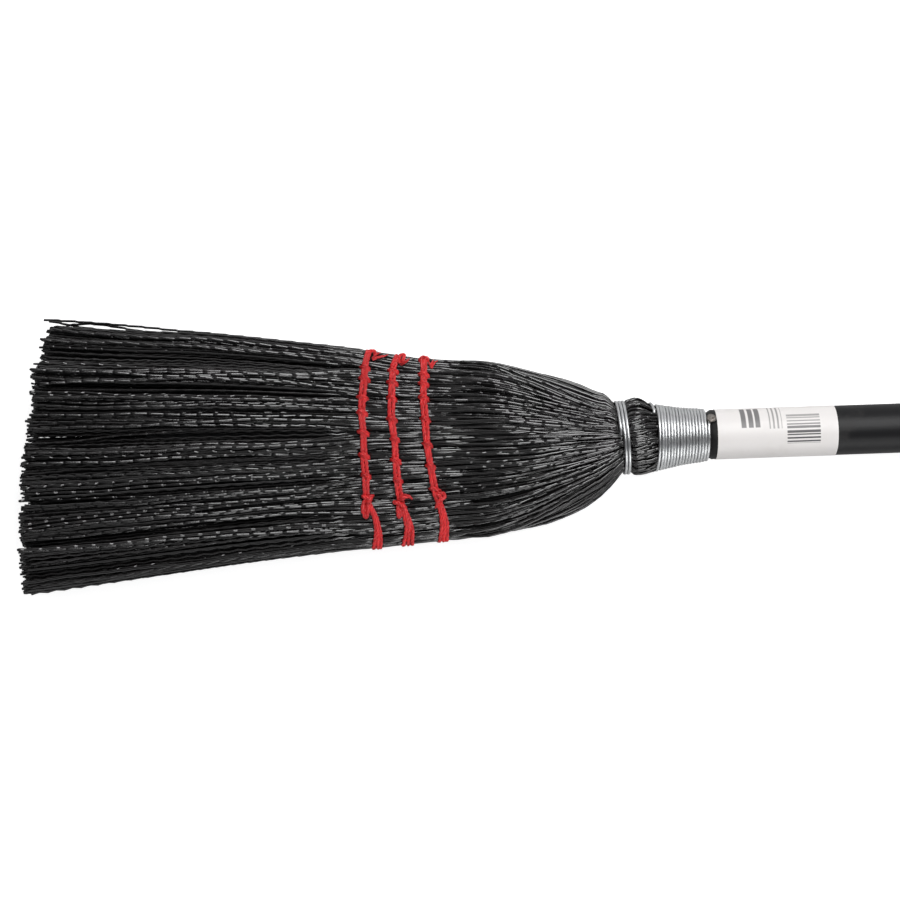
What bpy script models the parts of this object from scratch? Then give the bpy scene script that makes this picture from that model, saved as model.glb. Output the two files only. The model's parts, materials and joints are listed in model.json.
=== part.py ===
"""Lobby broom: a black wooden handle wired into a flat, stitched head of black plastic bristles.

Local axes: +X runs along the handle to its grip end, +Y across the head, +Z to the front face.
X = 0 lies in the throat, just inside the wire band. The broom lies on its back on the floor, on its
tips, the bulge of its neck and its grip end, so its axis slopes down a little towards the grip.

The head is built the way a broom is tied. A core bundle goes round the tapered end of the handle,
a shoulder bundle lies on each side of it, and a front and a back cover close it. Each bundle is a
compact slice that ends in loose strands past the shoulders. Three rows of twine then flatten it.
"""

import math
import random

import bmesh
import bpy
from mathutils import Matrix, Vector

MM = 0.001
CLEARANCE = 0.3 * MM

# Handle: a dowel with a domed grip end and a tapered end inside the head
HANDLE_DIAMETER = 22.2 * MM
GRIP_END_X = 640.0 * MM
GRIP_DOME_LENGTH = 6.0 * MM
GRIP_FLAT_DIAMETER = 12.0 * MM
SEAT_MARGIN = 0.36 * MM
SEAT_STEP_LENGTH = 1.6 * MM
THROAT_TENON_DIAMETER = 17.4 * MM
POINT_START_X = -60.0 * MM
POINT_START_DIAMETER = 10.0 * MM
HANDLE_POINT_X = -71.0 * MM
HANDLE_POINT_DIAMETER = 5.0 * MM
HANDLE_SIDES = 32

# Paper label wrapped round the handle, set back from the end of the winding
LABEL_SETBACK = 4.46 * MM
LABEL_LENGTH = 54.0 * MM
LABEL_THICKNESS = 0.2 * MM

# Wire winding that closes the neck, drawn thinner than 1.3 mm wire so that its turns stay apart
WIRE_DIAMETER = 0.9 * MM
WINDING_TURNS = 17
WINDING_LEFT_X = 12.6 * MM
WINDING_PITCH = 1.32 * MM
WINDING_LEFT_DIAMETER = 29.2 * MM
WINDING_RIGHT_DIAMETER = 23.0 * MM
LOOP_SIDES = 14

# Nail that holds the end of the winding, set back from it
NAIL_SETBACK = 2.96 * MM
NAIL_ANGLE = math.radians(41.0)
NAIL_HEAD_DIAMETER = 4.5 * MM
NAIL_HEAD_THICKNESS = 0.8 * MM
NAIL_SHANK_DIAMETER = 1.6 * MM
NAIL_LENGTH = 13.0 * MM
NAIL_POINT_LENGTH = 2.0 * MM

# Wire band round the throat, in its groove, and the hidden wire round the core bundle
BAND_TURNS = 2.5
BAND_X = -1.8 * MM
BAND_PITCH = 1.5 * MM
BAND_DIAMETER = 33.5 * MM
CORE_WIRE_TURNS = 2
CORE_WIRE_X = 4.2 * MM
CORE_WIRE_PITCH = 1.4 * MM

# Neck bulge between the band and the winding
BULGE_X = 3.2 * MM
BULGE_DIAMETER = 34.6 * MM
BUTT_END_X = 26.0 * MM

# Head outline: half widths to either side of the axis, and half thicknesses
ROOT_X = -78.0 * MM
UPPER_ROOT_WIDTH = 36.9 * MM
LOWER_ROOT_WIDTH = 43.3 * MM
UPPER_FULLNESS = 1.75
LOWER_FULLNESS = 2.9
ROOT_HALF_THICKNESS = 13.5 * MM
BELLY_RISE = 2.5 * MM
TIP_X = -272.0 * MM
UPPER_TIP_WIDTH = 61.6 * MM
LOWER_TIP_WIDTH = 61.6 * MM
TIP_HALF_THICKNESS = 20.0 * MM
TIP_SLANT = 0.1
TIP_CURVE = 1.8
EDGE_THINNING = 0.35
BLEND_LENGTH = 8.0 * MM
FLUTE_DEPTH = 0.7 * MM
RIB_SHARP_ANGLE = 14.0
BUNDLE_GAP = 0.36 * MM
BORE_SHARE = 0.2
BORE_OVERRUN = 5.0 * MM

# Strands: clumps between the stitches, each a block of cells, two three-sided strands to a cell
CLUMPS = 8
CLUMP_COLUMNS = 6
ROWS = 4
STITCH_GAP = 2.0 * MM
TIP_CLUMP_GAP = 1.0 * MM
STRAND_WIDTH = 1.15 * MM
TIP_SCATTER = 1.6 * MM
SEED = 7

# Twine: each row is two rounds of wrap and a lock thread laced through the gaps between clumps
TWINE_DIAMETER = 1.0 * MM
WRAP_ROUNDS = 2
WRAP_PITCH = 1.7 * MM
LOCK_REACH = 3.2 * MM
LOCK_REST = 1.8 * MM
TAIL_LENGTH = 5.0 * MM
KNOT_DIAMETER = 3.2 * MM
KNOT_PLACE = -0.87
# Each row: place at the edges, drift towards the lower edge, bow towards the tips
STITCH_ROWS = (
    (-114.7 * MM, 0.0 * MM, 3.8 * MM),
    (-101.3 * MM, 0.5 * MM, 2.5 * MM),
    (-87.6 * MM, 2.0 * MM, 1.5 * MM),
)


def interpolate(pairs, x):
    """Straight-line value at x from (x, value) pairs in rising order of x."""
    if x <= pairs[0][0]:
        return pairs[0][1]
    for (x0, v0), (x1, v1) in zip(pairs, pairs[1:]):
        if x <= x1:
            return v0 + (v1 - v0) * (x - x0) / (x1 - x0)
    return pairs[-1][1]


def polygon_sag(radius, points):
    """How far the middle of a chord lies inside a circle drawn with this many points."""
    return radius * (1.0 - math.cos(math.pi / points))


# Sizes that follow from the ones above
HANDLE_RADIUS = HANDLE_DIAMETER / 2
WIRE_RADIUS = WIRE_DIAMETER / 2
TWINE_RADIUS = TWINE_DIAMETER / 2
WINDING_RIGHT_X = WINDING_LEFT_X + WINDING_TURNS * WINDING_PITCH
WINDING_RIGHT_RADIUS = WINDING_RIGHT_DIAMETER / 2 - WIRE_RADIUS
SEAT_X = WINDING_RIGHT_X + SEAT_MARGIN
SEAT_RADIUS = (
    WINDING_RIGHT_RADIUS - WIRE_RADIUS - polygon_sag(WINDING_RIGHT_RADIUS, LOOP_SIDES) - CLEARANCE
)
TAPER_START_X = SEAT_X + SEAT_STEP_LENGTH
NAIL_X = WINDING_RIGHT_X + NAIL_SETBACK
LABEL_START_X = WINDING_RIGHT_X + LABEL_SETBACK
BAND_RADIUS = BAND_DIAMETER / 2 - WIRE_RADIUS
GROOVE_RADIUS = BAND_RADIUS - WIRE_RADIUS - polygon_sag(BAND_RADIUS, LOOP_SIDES) - CLEARANCE
GROOVE_HALF_WIDTH = BAND_TURNS * BAND_PITCH / 2 + WIRE_DIAMETER + CLEARANCE
GROOVE_LEFT_X = BAND_X - GROOVE_HALF_WIDTH
GROOVE_RIGHT_X = BAND_X + GROOVE_HALF_WIDTH
BLEND_END_X = ROOT_X + BLEND_LENGTH


def handle_radius(x):
    """Outer radius of the handle at x, without the dome of its grip end."""
    taper = (
        (HANDLE_POINT_X, HANDLE_POINT_DIAMETER / 2),
        (POINT_START_X, POINT_START_DIAMETER / 2),
        (GROOVE_LEFT_X, THROAT_TENON_DIAMETER / 2),
        (SEAT_X, SEAT_RADIUS),
        (TAPER_START_X, HANDLE_RADIUS),
    )
    return interpolate(taper, x)


def winding_radius(x):
    """Radius of the winding's centre line at x, along its cone."""
    ends = (
        (WINDING_LEFT_X, WINDING_LEFT_DIAMETER / 2 - WIRE_RADIUS),
        (WINDING_RIGHT_X, WINDING_RIGHT_RADIUS),
    )
    return interpolate(ends, x)


def neck_radius(x):
    """Outer radius of the bundles where the neck is round."""
    centre = winding_radius(x)
    cone = centre - WIRE_RADIUS - polygon_sag(centre, LOOP_SIDES) - CLEARANCE
    if x >= WINDING_LEFT_X:
        return cone
    if x >= BULGE_X:
        reach = (x - BULGE_X) / (WINDING_LEFT_X - BULGE_X)
        return cone + (BULGE_DIAMETER / 2 - cone) * (1.0 - reach * reach)
    return interpolate(((GROOVE_RIGHT_X, GROOVE_RADIUS), (BULGE_X, BULGE_DIAMETER / 2)), x)


def half_width(x, side):
    """Half width of the head at x, on the upper (side > 0) or the lower side."""
    root, tip, fullness = LOWER_ROOT_WIDTH, LOWER_TIP_WIDTH, LOWER_FULLNESS
    if side > 0:
        root, tip, fullness = UPPER_ROOT_WIDTH, UPPER_TIP_WIDTH, UPPER_FULLNESS
    if x >= GROOVE_LEFT_X:
        return neck_radius(x)
    if x >= ROOT_X:
        share = (GROOVE_LEFT_X - x) / (GROOVE_LEFT_X - ROOT_X)
        return GROOVE_RADIUS + (root - GROOVE_RADIUS) * (1.0 - (1.0 - share) ** fullness)
    return root + (tip - root) * (ROOT_X - x) / (ROOT_X - TIP_X)


def half_thickness(x):
    """Half thickness of the head at x, on its axis."""
    if x >= GROOVE_LEFT_X:
        return neck_radius(x)
    if x >= ROOT_X:
        share = (GROOVE_LEFT_X - x) / (GROOVE_LEFT_X - ROOT_X)
        straight = GROOVE_RADIUS + (ROOT_HALF_THICKNESS - GROOVE_RADIUS) * share
        return straight + BELLY_RISE * math.sin(math.pi * share)
    share = (ROOT_X - x) / (ROOT_X - TIP_X)
    return ROOT_HALF_THICKNESS + (TIP_HALF_THICKNESS - ROOT_HALF_THICKNESS) * share


def thinning(a):
    """Share of the full thickness that is left at the place a across the head."""
    return 1.0 - EDGE_THINNING * abs(a) ** 4


def round_place(x, a, b):
    """Where a place (a, b) of the square plan lies in a round section with the handle inside."""
    reach = max(abs(a), abs(b))
    if reach == 0.0:
        return 0.0, 0.0
    if abs(a) > abs(b):
        radius, angle = a, math.pi / 4 * b / a
    else:
        radius, angle = b, math.pi / 2 - math.pi / 4 * a / b
    bore = (handle_radius(x) + CLEARANCE) / half_thickness(x)
    if reach > BORE_SHARE:
        share = bore + (1.0 - bore) * (reach - BORE_SHARE) / (1.0 - BORE_SHARE)
    else:
        share = bore * reach / BORE_SHARE
    scale = share / reach
    return radius * math.cos(angle) * scale, radius * math.sin(angle) * scale


def section(x, a, b):
    """Map a place (a, b) of the square plan, each from -1 to 1, to (y, z) in the section at x."""
    share = min(max((GROOVE_LEFT_X - x) / (GROOVE_LEFT_X - BLEND_END_X), 0.0), 1.0)
    flat = share * share * (3.0 - 2.0 * share)
    round_a, round_b = round_place(x, a, b)
    across = round_a + (a - round_a) * flat
    up = round_b + (b * thinning(a) - round_b) * flat
    return across * half_width(x, across), up * half_thickness(x)


def core_wire_radius():
    """Centre radius of the hidden wire, which lies just inside the covers."""
    edge_x = CORE_WIRE_X - CORE_WIRE_TURNS * CORE_WIRE_PITCH / 2
    cover_inside = section(edge_x, 0.0, 0.5)[1]
    return cover_inside - WIRE_RADIUS - CLEARANCE


def make_material(name, colour, roughness, metallic=0.0):
    """A Principled material in one colour."""
    material = bpy.data.materials.new(name)
    material.use_nodes = True
    shader = material.node_tree.nodes["Principled BSDF"]
    shader.inputs["Base Color"].default_value = (*colour, 1.0)
    shader.inputs["Roughness"].default_value = roughness
    shader.inputs["Metallic"].default_value = metallic
    return material


def clear_scene():
    """Remove every object that the file opened with."""
    for item in list(bpy.data.objects):
        bpy.data.objects.remove(item, do_unlink=True)


def make_collection(name):
    """A new collection in the scene."""
    collection = bpy.data.collections.new(name)
    bpy.context.scene.collection.children.link(collection)
    return collection


class Workshop:
    """Makes the pieces, puts them in their collection and hangs them on the broom's empty."""

    def __init__(self):
        self.parts = make_collection("lobby_broom")
        self.cutters = make_collection("cutters")
        self.broom = bpy.data.objects.new("broom", None)
        self.parts.objects.link(self.broom)
        self.pieces = []

    def add(self, piece, material):
        """Take a finished piece of the broom."""
        self.parts.objects.link(piece)
        piece.data.materials.clear()
        piece.data.materials.append(material)
        piece.parent = self.broom
        self.pieces.append(piece)
        return piece

    def add_cutter(self, cutter):
        """Take a cutter, which isn't part of the broom."""
        self.cutters.objects.link(cutter)
        cutter.hide_render = True
        cutter.display_type = "WIRE"
        cutter.parent = self.broom
        return cutter


def cut(piece, cutter, name):
    """Cut one object out of another with a Boolean that stays on the piece."""
    modifier = piece.modifiers.new(name, "BOOLEAN")
    modifier.operation = "DIFFERENCE"
    modifier.solver = "EXACT"
    modifier.object = cutter


def shade_round(mesh, angle=35.0):
    """Smooth shading with sharp edges kept."""
    mesh.shade_smooth()
    mesh.set_sharp_from_angle(angle=math.radians(angle))


def turned(name, profile, steps):
    """Turn a profile of (radius, height) points, top to bottom, about the local Z axis."""
    mesh = bpy.data.meshes.new(name)
    edges = [(i, i + 1) for i in range(len(profile) - 1)]
    mesh.from_pydata([(radius, 0.0, height) for radius, height in profile], edges, [])
    piece = bpy.data.objects.new(name, mesh)
    screw = piece.modifiers.new("turn", "SCREW")
    screw.axis = "Z"
    screw.angle = 2 * math.pi
    screw.steps = steps
    screw.render_steps = steps
    screw.use_merge_vertices = True
    screw.merge_threshold = 0.00001
    screw.use_smooth_shade = True
    return piece


def along_handle(piece):
    """Lay a turned piece's Z axis along the broom's +X."""
    piece.rotation_euler = (0.0, math.pi / 2, 0.0)
    return piece


def tube(name, points, diameter, bevel_resolution):
    """A round tube along a list of points."""
    curve = bpy.data.curves.new(name, "CURVE")
    curve.dimensions = "3D"
    curve.bevel_depth = diameter / 2
    curve.bevel_resolution = bevel_resolution
    curve.use_fill_caps = True
    spline = curve.splines.new("POLY")
    spline.points.add(len(points) - 1)
    for target, point in zip(spline.points, points):
        target.co = (*point, 1.0)
    spline.use_smooth = True
    return bpy.data.objects.new(name, curve)


def around(x, radius, angle):
    """A point at an angle round the axis, from the front face towards the upper side."""
    return Vector((x, radius * math.sin(angle), radius * math.cos(angle)))


def print_least_gap(name, points, diameter, skip):
    """Print the least gap between parts of a tube that are at least this many points apart."""
    least = min(
        (points[i] - points[j]).length
        for i in range(len(points))
        for j in range(i + skip, len(points))
    )
    print(f"{name}: least gap to itself {(least - diameter) / MM:.2f} mm")


def handle_profile(extra=0.0, top_x=GRIP_END_X):
    """Turned profile of the handle, grown by extra, from top_x down to the hidden point."""
    places = (TAPER_START_X, SEAT_X, GROOVE_LEFT_X, POINT_START_X, HANDLE_POINT_X)
    profile = [(handle_radius(x) + extra, x) for x in places if x < top_x]
    return profile + [(0.0, HANDLE_POINT_X - extra)]


def make_handle(shop, material):
    """Dowel with a domed grip end, a seat for the winding and a tapered tenon."""
    flat = GRIP_FLAT_DIAMETER / 2
    dome = []
    dome_steps = 6
    for step in range(dome_steps + 1):
        angle = math.pi / 2 * step / dome_steps
        radius = flat + (HANDLE_RADIUS - flat) * math.sin(angle)
        dome.append((radius, GRIP_END_X - GRIP_DOME_LENGTH * (1.0 - math.cos(angle))))
    profile = [(0.0, GRIP_END_X), *dome, *handle_profile()]
    handle = shop.add(along_handle(turned("handle", profile, HANDLE_SIDES)), material)
    cut(handle, make_nail_hole(shop), "nail hole")
    return handle


def nail_head_base():
    """Height of the underside of the nail's head above the axis, over the end of the wire."""
    wire_centre = end_wire_radius()
    return wire_centre + WIRE_RADIUS + CLEARANCE


def end_wire_radius():
    """Centre radius of the wire's end where it lies on the full handle."""
    chord_sag = polygon_sag(HANDLE_RADIUS + WIRE_RADIUS, LOOP_SIDES)
    return HANDLE_RADIUS + CLEARANCE + WIRE_RADIUS + chord_sag


def place_nail(piece):
    """Stand a turned piece's Z axis out of the handle at the nail."""
    piece.rotation_euler = (-NAIL_ANGLE, 0.0, 0.0)
    piece.location = (NAIL_X, 0.0, 0.0)
    return piece


def make_nail_hole(shop):
    """Cutter for the hole that the nail sits in."""
    radius = NAIL_SHANK_DIAMETER / 2 + CLEARANCE
    bottom = nail_head_base() - NAIL_LENGTH - CLEARANCE
    top = nail_head_base() + NAIL_HEAD_THICKNESS
    profile = [(0.0, top), (radius, top), (radius, bottom), (0.0, bottom)]
    return shop.add_cutter(place_nail(turned("nail_hole_cutter", profile, 12)))


def make_nail(shop, material):
    """Nail with a flat head that traps the end of the winding."""
    base = nail_head_base()
    top = base + NAIL_HEAD_THICKNESS
    head = NAIL_HEAD_DIAMETER / 2
    shank = NAIL_SHANK_DIAMETER / 2
    tip = base - NAIL_LENGTH
    profile = [
        (0.0, top),
        (head * 0.8, top),
        (head, top - NAIL_HEAD_THICKNESS * 0.5),
        (head, base),
        (shank, base),
        (shank, tip + NAIL_POINT_LENGTH),
        (0.0, tip),
    ]
    return shop.add(place_nail(turned("wire_end_nail", profile, 12)), material)


def make_label(shop, material):
    """Paper label, one wrap round the handle."""
    radius = HANDLE_RADIUS + CLEARANCE
    profile = [(radius, LABEL_START_X + LABEL_LENGTH), (radius, LABEL_START_X)]
    label = along_handle(turned("handle_label", profile, HANDLE_SIDES))
    wall = label.modifiers.new("paper", "SOLIDIFY")
    wall.thickness = LABEL_THICKNESS
    wall.offset = 1.0
    return shop.add(label, material)


def make_neck_winding(shop, material):
    """Tight conical winding over the butts of the bristles, running out under the nail."""
    points = []
    count = WINDING_TURNS * LOOP_SIDES
    nail_gap = NAIL_SHANK_DIAMETER / 2 + CLEARANCE
    stop_angle = NAIL_ANGLE - nail_gap / end_wire_radius()
    start_angle = stop_angle - math.pi - 2 * math.pi * WINDING_TURNS
    for step in range(count + 1):
        x = WINDING_LEFT_X + WINDING_PITCH * step / LOOP_SIDES
        angle = start_angle + 2 * math.pi * step / LOOP_SIDES
        points.append(around(x, winding_radius(x), angle))
    lead_steps = LOOP_SIDES // 2
    for step in range(1, lead_steps + 1):
        share = step / lead_steps
        rise = min(1.0, share * 2.0)
        x = WINDING_RIGHT_X + (NAIL_X - WINDING_RIGHT_X) * share
        radius = winding_radius(WINDING_RIGHT_X) * (1 - rise) + end_wire_radius() * rise
        points.append(around(x, radius, stop_angle - math.pi * (1 - share)))
    print_least_gap("neck_winding", points, WIRE_DIAMETER, LOOP_SIDES - 3)
    return shop.add(tube("neck_winding", points, WIRE_DIAMETER, 1), material)


def coil(x_middle, turns, pitch, radius):
    """Points of a plain coil about the axis."""
    steps = round(turns * LOOP_SIDES)
    points = []
    for step in range(steps + 1):
        x = x_middle + pitch * (step / LOOP_SIDES - turns / 2)
        points.append(around(x, radius, 2 * math.pi * step / LOOP_SIDES))
    return points


def make_throat_band(shop, material):
    """Two and a half turns of wire in the throat's groove, with the end at the front."""
    points = coil(BAND_X, BAND_TURNS, BAND_PITCH, BAND_RADIUS)
    print_least_gap("throat_band", points, WIRE_DIAMETER, LOOP_SIDES - 3)
    return shop.add(tube("throat_band", points, WIRE_DIAMETER, 1), material)


def make_core_wire(shop, material):
    """Hidden wire that ties the core bundle to the handle, under the covers."""
    points = coil(CORE_WIRE_X, CORE_WIRE_TURNS, CORE_WIRE_PITCH, core_wire_radius())
    print_least_gap("core_binding_wire", points, WIRE_DIAMETER, LOOP_SIDES - 3)
    return shop.add(tube("core_binding_wire", points, WIRE_DIAMETER, 0), material)


class Bundle:
    """One bundle of bristles: a compact slice, lofted along the head, that ends in strands.

    The bundle takes a rectangle of the section's square plan. Its outline is four chains of
    places, and the slice's last section is a lattice of cells, in which the strands stand.
    """

    def __init__(self, name, across, up, end_x, is_core=False):
        self.name = name
        self.across = across
        self.up = up
        self.end_x = end_x
        self.is_core = is_core
        self.mesh = bmesh.new()
        self.dice = random.Random(SEED + len(name))

    def limits(self, x):
        """The bundle's rectangle at x, drawn in by the gap where it meets a neighbour."""
        round_unit = (half_thickness(x) - handle_radius(x)) / (1.0 - BORE_SHARE)
        share = min(max((GROOVE_LEFT_X - x) / (GROOVE_LEFT_X - BLEND_END_X), 0.0), 1.0)
        across_unit = round_unit + (half_width(x, 1.0) - round_unit) * share
        up_unit = round_unit + (half_thickness(x) - round_unit) * share
        shrink_a = BUNDLE_GAP / 2 / across_unit
        shrink_b = BUNDLE_GAP / 2 / up_unit
        low_a, high_a = (self.inset(self.across[0], shrink_a), self.inset(self.across[1], -shrink_a))
        low_b, high_b = (self.inset(self.up[0], shrink_b), self.inset(self.up[1], -shrink_b))
        return low_a, high_a, low_b, high_b

    @staticmethod
    def inset(edge, shrink):
        """Move an edge inwards, unless it is an outer face of the head."""
        return edge if abs(edge) == 1.0 else edge + shrink

    def counts(self):
        """Steps along the plan's a and b directions, at a quarter of the plan's half size."""
        steps_a = round((self.across[1] - self.across[0]) / 0.25)
        steps_b = max(2, round((self.up[1] - self.up[0]) / 0.25))
        return steps_a, steps_b

    def is_outer(self, side):
        """Whether one of the four sides, counted from the low b side, is a cover's face."""
        edges = (self.up[0], self.across[1], self.up[1], self.across[0])
        return abs(edges[side]) == 1.0

    def ring(self, x):
        """The section's outline at x, as (vertex, parameter) pairs, one unit to a side."""
        low_a, high_a, low_b, high_b = self.limits(x)
        steps_a, steps_b = self.counts()
        corners = ((low_a, low_b), (high_a, low_b), (high_a, high_b), (low_a, high_b))
        ring = []
        for side in range(4):
            steps = steps_a if side % 2 == 0 else steps_b
            fluted = self.is_outer(side)
            if fluted:
                steps = steps * 2
            depth = FLUTE_DEPTH if fluted and x < WINDING_LEFT_X else 0.0
            start, stop = corners[side], corners[(side + 1) % 4]
            for step in range(steps):
                share = step / steps
                a = start[0] + (stop[0] - start[0]) * share
                b = start[1] + (stop[1] - start[1]) * share
                sunk = depth if step % 2 == 1 else 0.0
                ring.append((self.vertex(x, a, b, sunk), side + share))
        return ring

    def vertex(self, x, a, b, sunk=0.0):
        """A vertex of the slice, sunk towards the axis where a flute runs."""
        y, z = section(x, a, b)
        reach = math.hypot(y, z)
        scale = 1.0 - sunk / reach if reach else 1.0
        if self.is_core and self.is_wire_groove(x):
            groove = core_wire_radius() - WIRE_RADIUS - CLEARANCE
            scale = (groove - polygon_sag(core_wire_radius(), LOOP_SIDES)) / reach
        return self.mesh.verts.new((x, y * scale, z * scale))

    @staticmethod
    def is_wire_groove(x):
        """Whether x lies in the core's groove for the hidden wire."""
        half = CORE_WIRE_TURNS * CORE_WIRE_PITCH / 2 + WIRE_DIAMETER + CLEARANCE
        return abs(x - CORE_WIRE_X) < half + 0.1 * MM

    def stations(self):
        """Places along X of the slice's sections, from the neck to the last one before the root."""
        groove = CORE_WIRE_TURNS * CORE_WIRE_PITCH / 2 + WIRE_DIAMETER + CLEARANCE
        neck = [self.end_x]
        if self.is_core:
            wire_low, wire_high = CORE_WIRE_X - groove, CORE_WIRE_X + groove
            neck += [wire_high + 0.8 * MM, wire_high, wire_low, wire_low - 0.8 * MM]
        else:
            neck += [WINDING_LEFT_X, (WINDING_LEFT_X + BULGE_X) / 2, BULGE_X, GROOVE_RIGHT_X]
        neck += [GROOVE_LEFT_X]
        shoulder_steps = 6
        for step in range(1, shoulder_steps):
            share = (step / shoulder_steps) ** 1.3
            neck.append(GROOVE_LEFT_X + (ROOT_X - GROOVE_LEFT_X) * share)
        return [x for x in neck if x <= self.end_x]

    def zip_rings(self, first, second):
        """Close the surface between two rings of any counts with triangles."""
        i = j = 0
        count_i, count_j = len(first), len(second)
        while i < count_i or j < count_j:
            next_i = first[i + 1][1] if i + 1 < count_i else 4.0
            next_j = second[j + 1][1] if j + 1 < count_j else 4.0
            here_i, here_j = first[i % count_i][0], second[j % count_j][0]
            side = int(min(first[min(i, count_i - 1)][1], 3.99))
            prefer_first = next_i < next_j or (next_i == next_j and self.leads(side))
            if j >= count_j or (i < count_i and prefer_first):
                ahead = first[(i + 1) % count_i][0]
                self.mesh.faces.new((here_i, ahead, here_j))
                i += 1
            else:
                ahead = second[(j + 1) % count_j][0]
                self.mesh.faces.new((here_i, ahead, here_j))
                j += 1

    def leads(self, side):
        """Which diagonal a side takes, so that two bundles that meet have the same facets."""
        if self.is_core:
            return True
        faces_inward = not self.is_outer(side)
        is_cover = abs(self.up[0]) == 1.0 or abs(self.up[1]) == 1.0
        if is_cover:
            return not faces_inward
        meets_core = faces_inward and side % 2 == 1
        return not meets_core

    def columns(self):
        """The lattice's lines across the head: (a, clump number or None for a gap) per cell."""
        low_a, high_a, _, _ = self.limits(ROOT_X)
        lines = [low_a]
        cells = []
        for clump in range(CLUMPS):
            start = -1.0 + 2.0 * clump / CLUMPS
            stop = start + 2.0 / CLUMPS
            if start < self.across[0] - 0.001 or stop > self.across[1] + 0.001:
                continue
            side = start + stop
            half_gap = STITCH_GAP / 2 / half_width(ROOT_X, side)
            first = start + half_gap if clump > 0 else start
            last = stop - half_gap if clump < CLUMPS - 1 else stop
            if first > lines[-1]:
                lines.append(first)
                cells.append(None)
            for column in range(1, CLUMP_COLUMNS + 1):
                lines.append(first + (last - first) * column / CLUMP_COLUMNS)
                cells.append((clump, column - 1))
        if high_a > lines[-1] + 1e-6:
            lines.append(high_a)
            cells.append(None)
        return lines, cells

    def rows(self):
        """The lattice's lines through the head's thickness."""
        _, _, low_b, high_b = self.limits(ROOT_X)
        count = round((self.up[1] - self.up[0]) * ROWS / 2)
        return [low_b + (high_b - low_b) * row / count for row in range(count + 1)]

    def lattice_ring(self, grid, lines, rows):
        """The lattice's outer vertices in the order of a section's outline."""
        last_a, last_b = len(lines) - 1, len(rows) - 1
        span_a = lines[-1] - lines[0]
        span_b = rows[-1] - rows[0]
        ring = [(grid[i][0], (lines[i] - lines[0]) / span_a) for i in range(last_a)]
        ring += [(grid[last_a][j], 1 + (rows[j] - rows[0]) / span_b) for j in range(last_b)]
        ring += [(grid[i][last_b], 2 + (lines[-1] - lines[i]) / span_a) for i in range(last_a, 0, -1)]
        ring += [(grid[0][j], 3 + (rows[-1] - rows[j]) / span_b) for j in range(last_b, 0, -1)]
        return ring

    def tip_place(self, clump, column, row, half):
        """Where a strand ends, in the tip's section: its scatter keeps the strands in order."""
        share = (column * 2 + half + 0.5) / (CLUMP_COLUMNS * 2)
        start = -1.0 + 2.0 * clump / CLUMPS
        width = half_width(TIP_X, start + 1.0 / CLUMPS)
        half_gap = TIP_CLUMP_GAP / 2 / width
        a = start + half_gap + (2.0 / CLUMPS - 2 * half_gap) * share
        b = -1.0 + 2.0 * (row + (1 + half) / 3) / ROWS
        outermost = 1.0 - 2.0 / 3 / ROWS
        y = a * (width - STRAND_WIDTH / 2)
        z = b / outermost * (TIP_HALF_THICKNESS - STRAND_WIDTH / 2) * thinning(a)
        x = TIP_X + TIP_SLANT * y + TIP_CURVE * y * y
        x += self.dice.uniform(-TIP_SCATTER, TIP_SCATTER)
        y += self.dice.uniform(-0.05, 0.05) * STRAND_WIDTH
        z += self.dice.uniform(-0.4, 0.2) * STRAND_WIDTH * (1 if z > 0 else -1)
        return Vector((x, y, z))

    def grow_strand(self, root, tip):
        """A three-sided strand from the root triangle to a small one like it at the tip."""
        centre = sum((vertex.co for vertex in root), Vector()) / 3
        spread_y = max(v.co.y for v in root) - min(v.co.y for v in root)
        spread_z = max(v.co.z for v in root) - min(v.co.z for v in root)
        end = []
        for vertex in root:
            away = vertex.co - centre
            y = away.y / spread_y * STRAND_WIDTH
            z = away.z / spread_z * STRAND_WIDTH
            end.append(self.mesh.verts.new((tip.x, tip.y + y, tip.z + z)))
        for corner in range(3):
            following = (corner + 1) % 3
            self.mesh.faces.new((root[corner], root[following], end[following]))
            self.mesh.faces.new((root[corner], end[following], end[corner]))
        self.mesh.faces.new(end)

    def grow_strands(self, grid, lines, cells, rows):
        """Two strands on each cell of a clump, and a flat face on each cell of a gap."""
        first_row = round((self.up[0] + 1.0) * ROWS / 2)
        for i, cell in enumerate(cells):
            for j in range(len(rows) - 1):
                low_left, low_right = grid[i][j], grid[i + 1][j]
                high_left, high_right = grid[i][j + 1], grid[i + 1][j + 1]
                if cell is None:
                    self.mesh.faces.new((low_left, low_right, high_right, high_left))
                    continue
                clump, column = cell
                row = first_row + j
                lower = (low_left, low_right, high_left)
                upper = (low_right, high_right, high_left)
                self.grow_strand(lower, self.tip_place(clump, column, row, 0))
                self.grow_strand(upper, self.tip_place(clump, column, row, 1))

    def build(self):
        """The bundle as an object."""
        rings = [self.ring(x) for x in self.stations()]
        for first, second in zip(rings, rings[1:]):
            self.zip_rings(first, second)
        self.mesh.faces.new([vertex for vertex, _ in rings[0]])
        lines, cells = self.columns()
        rows = self.rows()
        grid = [[self.vertex(ROOT_X, a, b) for b in rows] for a in lines]
        self.zip_rings(rings[-1], self.lattice_ring(grid, lines, rows))
        self.grow_strands(grid, lines, cells, rows)
        bmesh.ops.recalc_face_normals(self.mesh, faces=self.mesh.faces)
        mesh = bpy.data.meshes.new(self.name)
        self.mesh.to_mesh(mesh)
        self.mesh.free()
        shade_round(mesh, RIB_SHARP_ANGLE)
        return bpy.data.objects.new(self.name, mesh)


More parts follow.
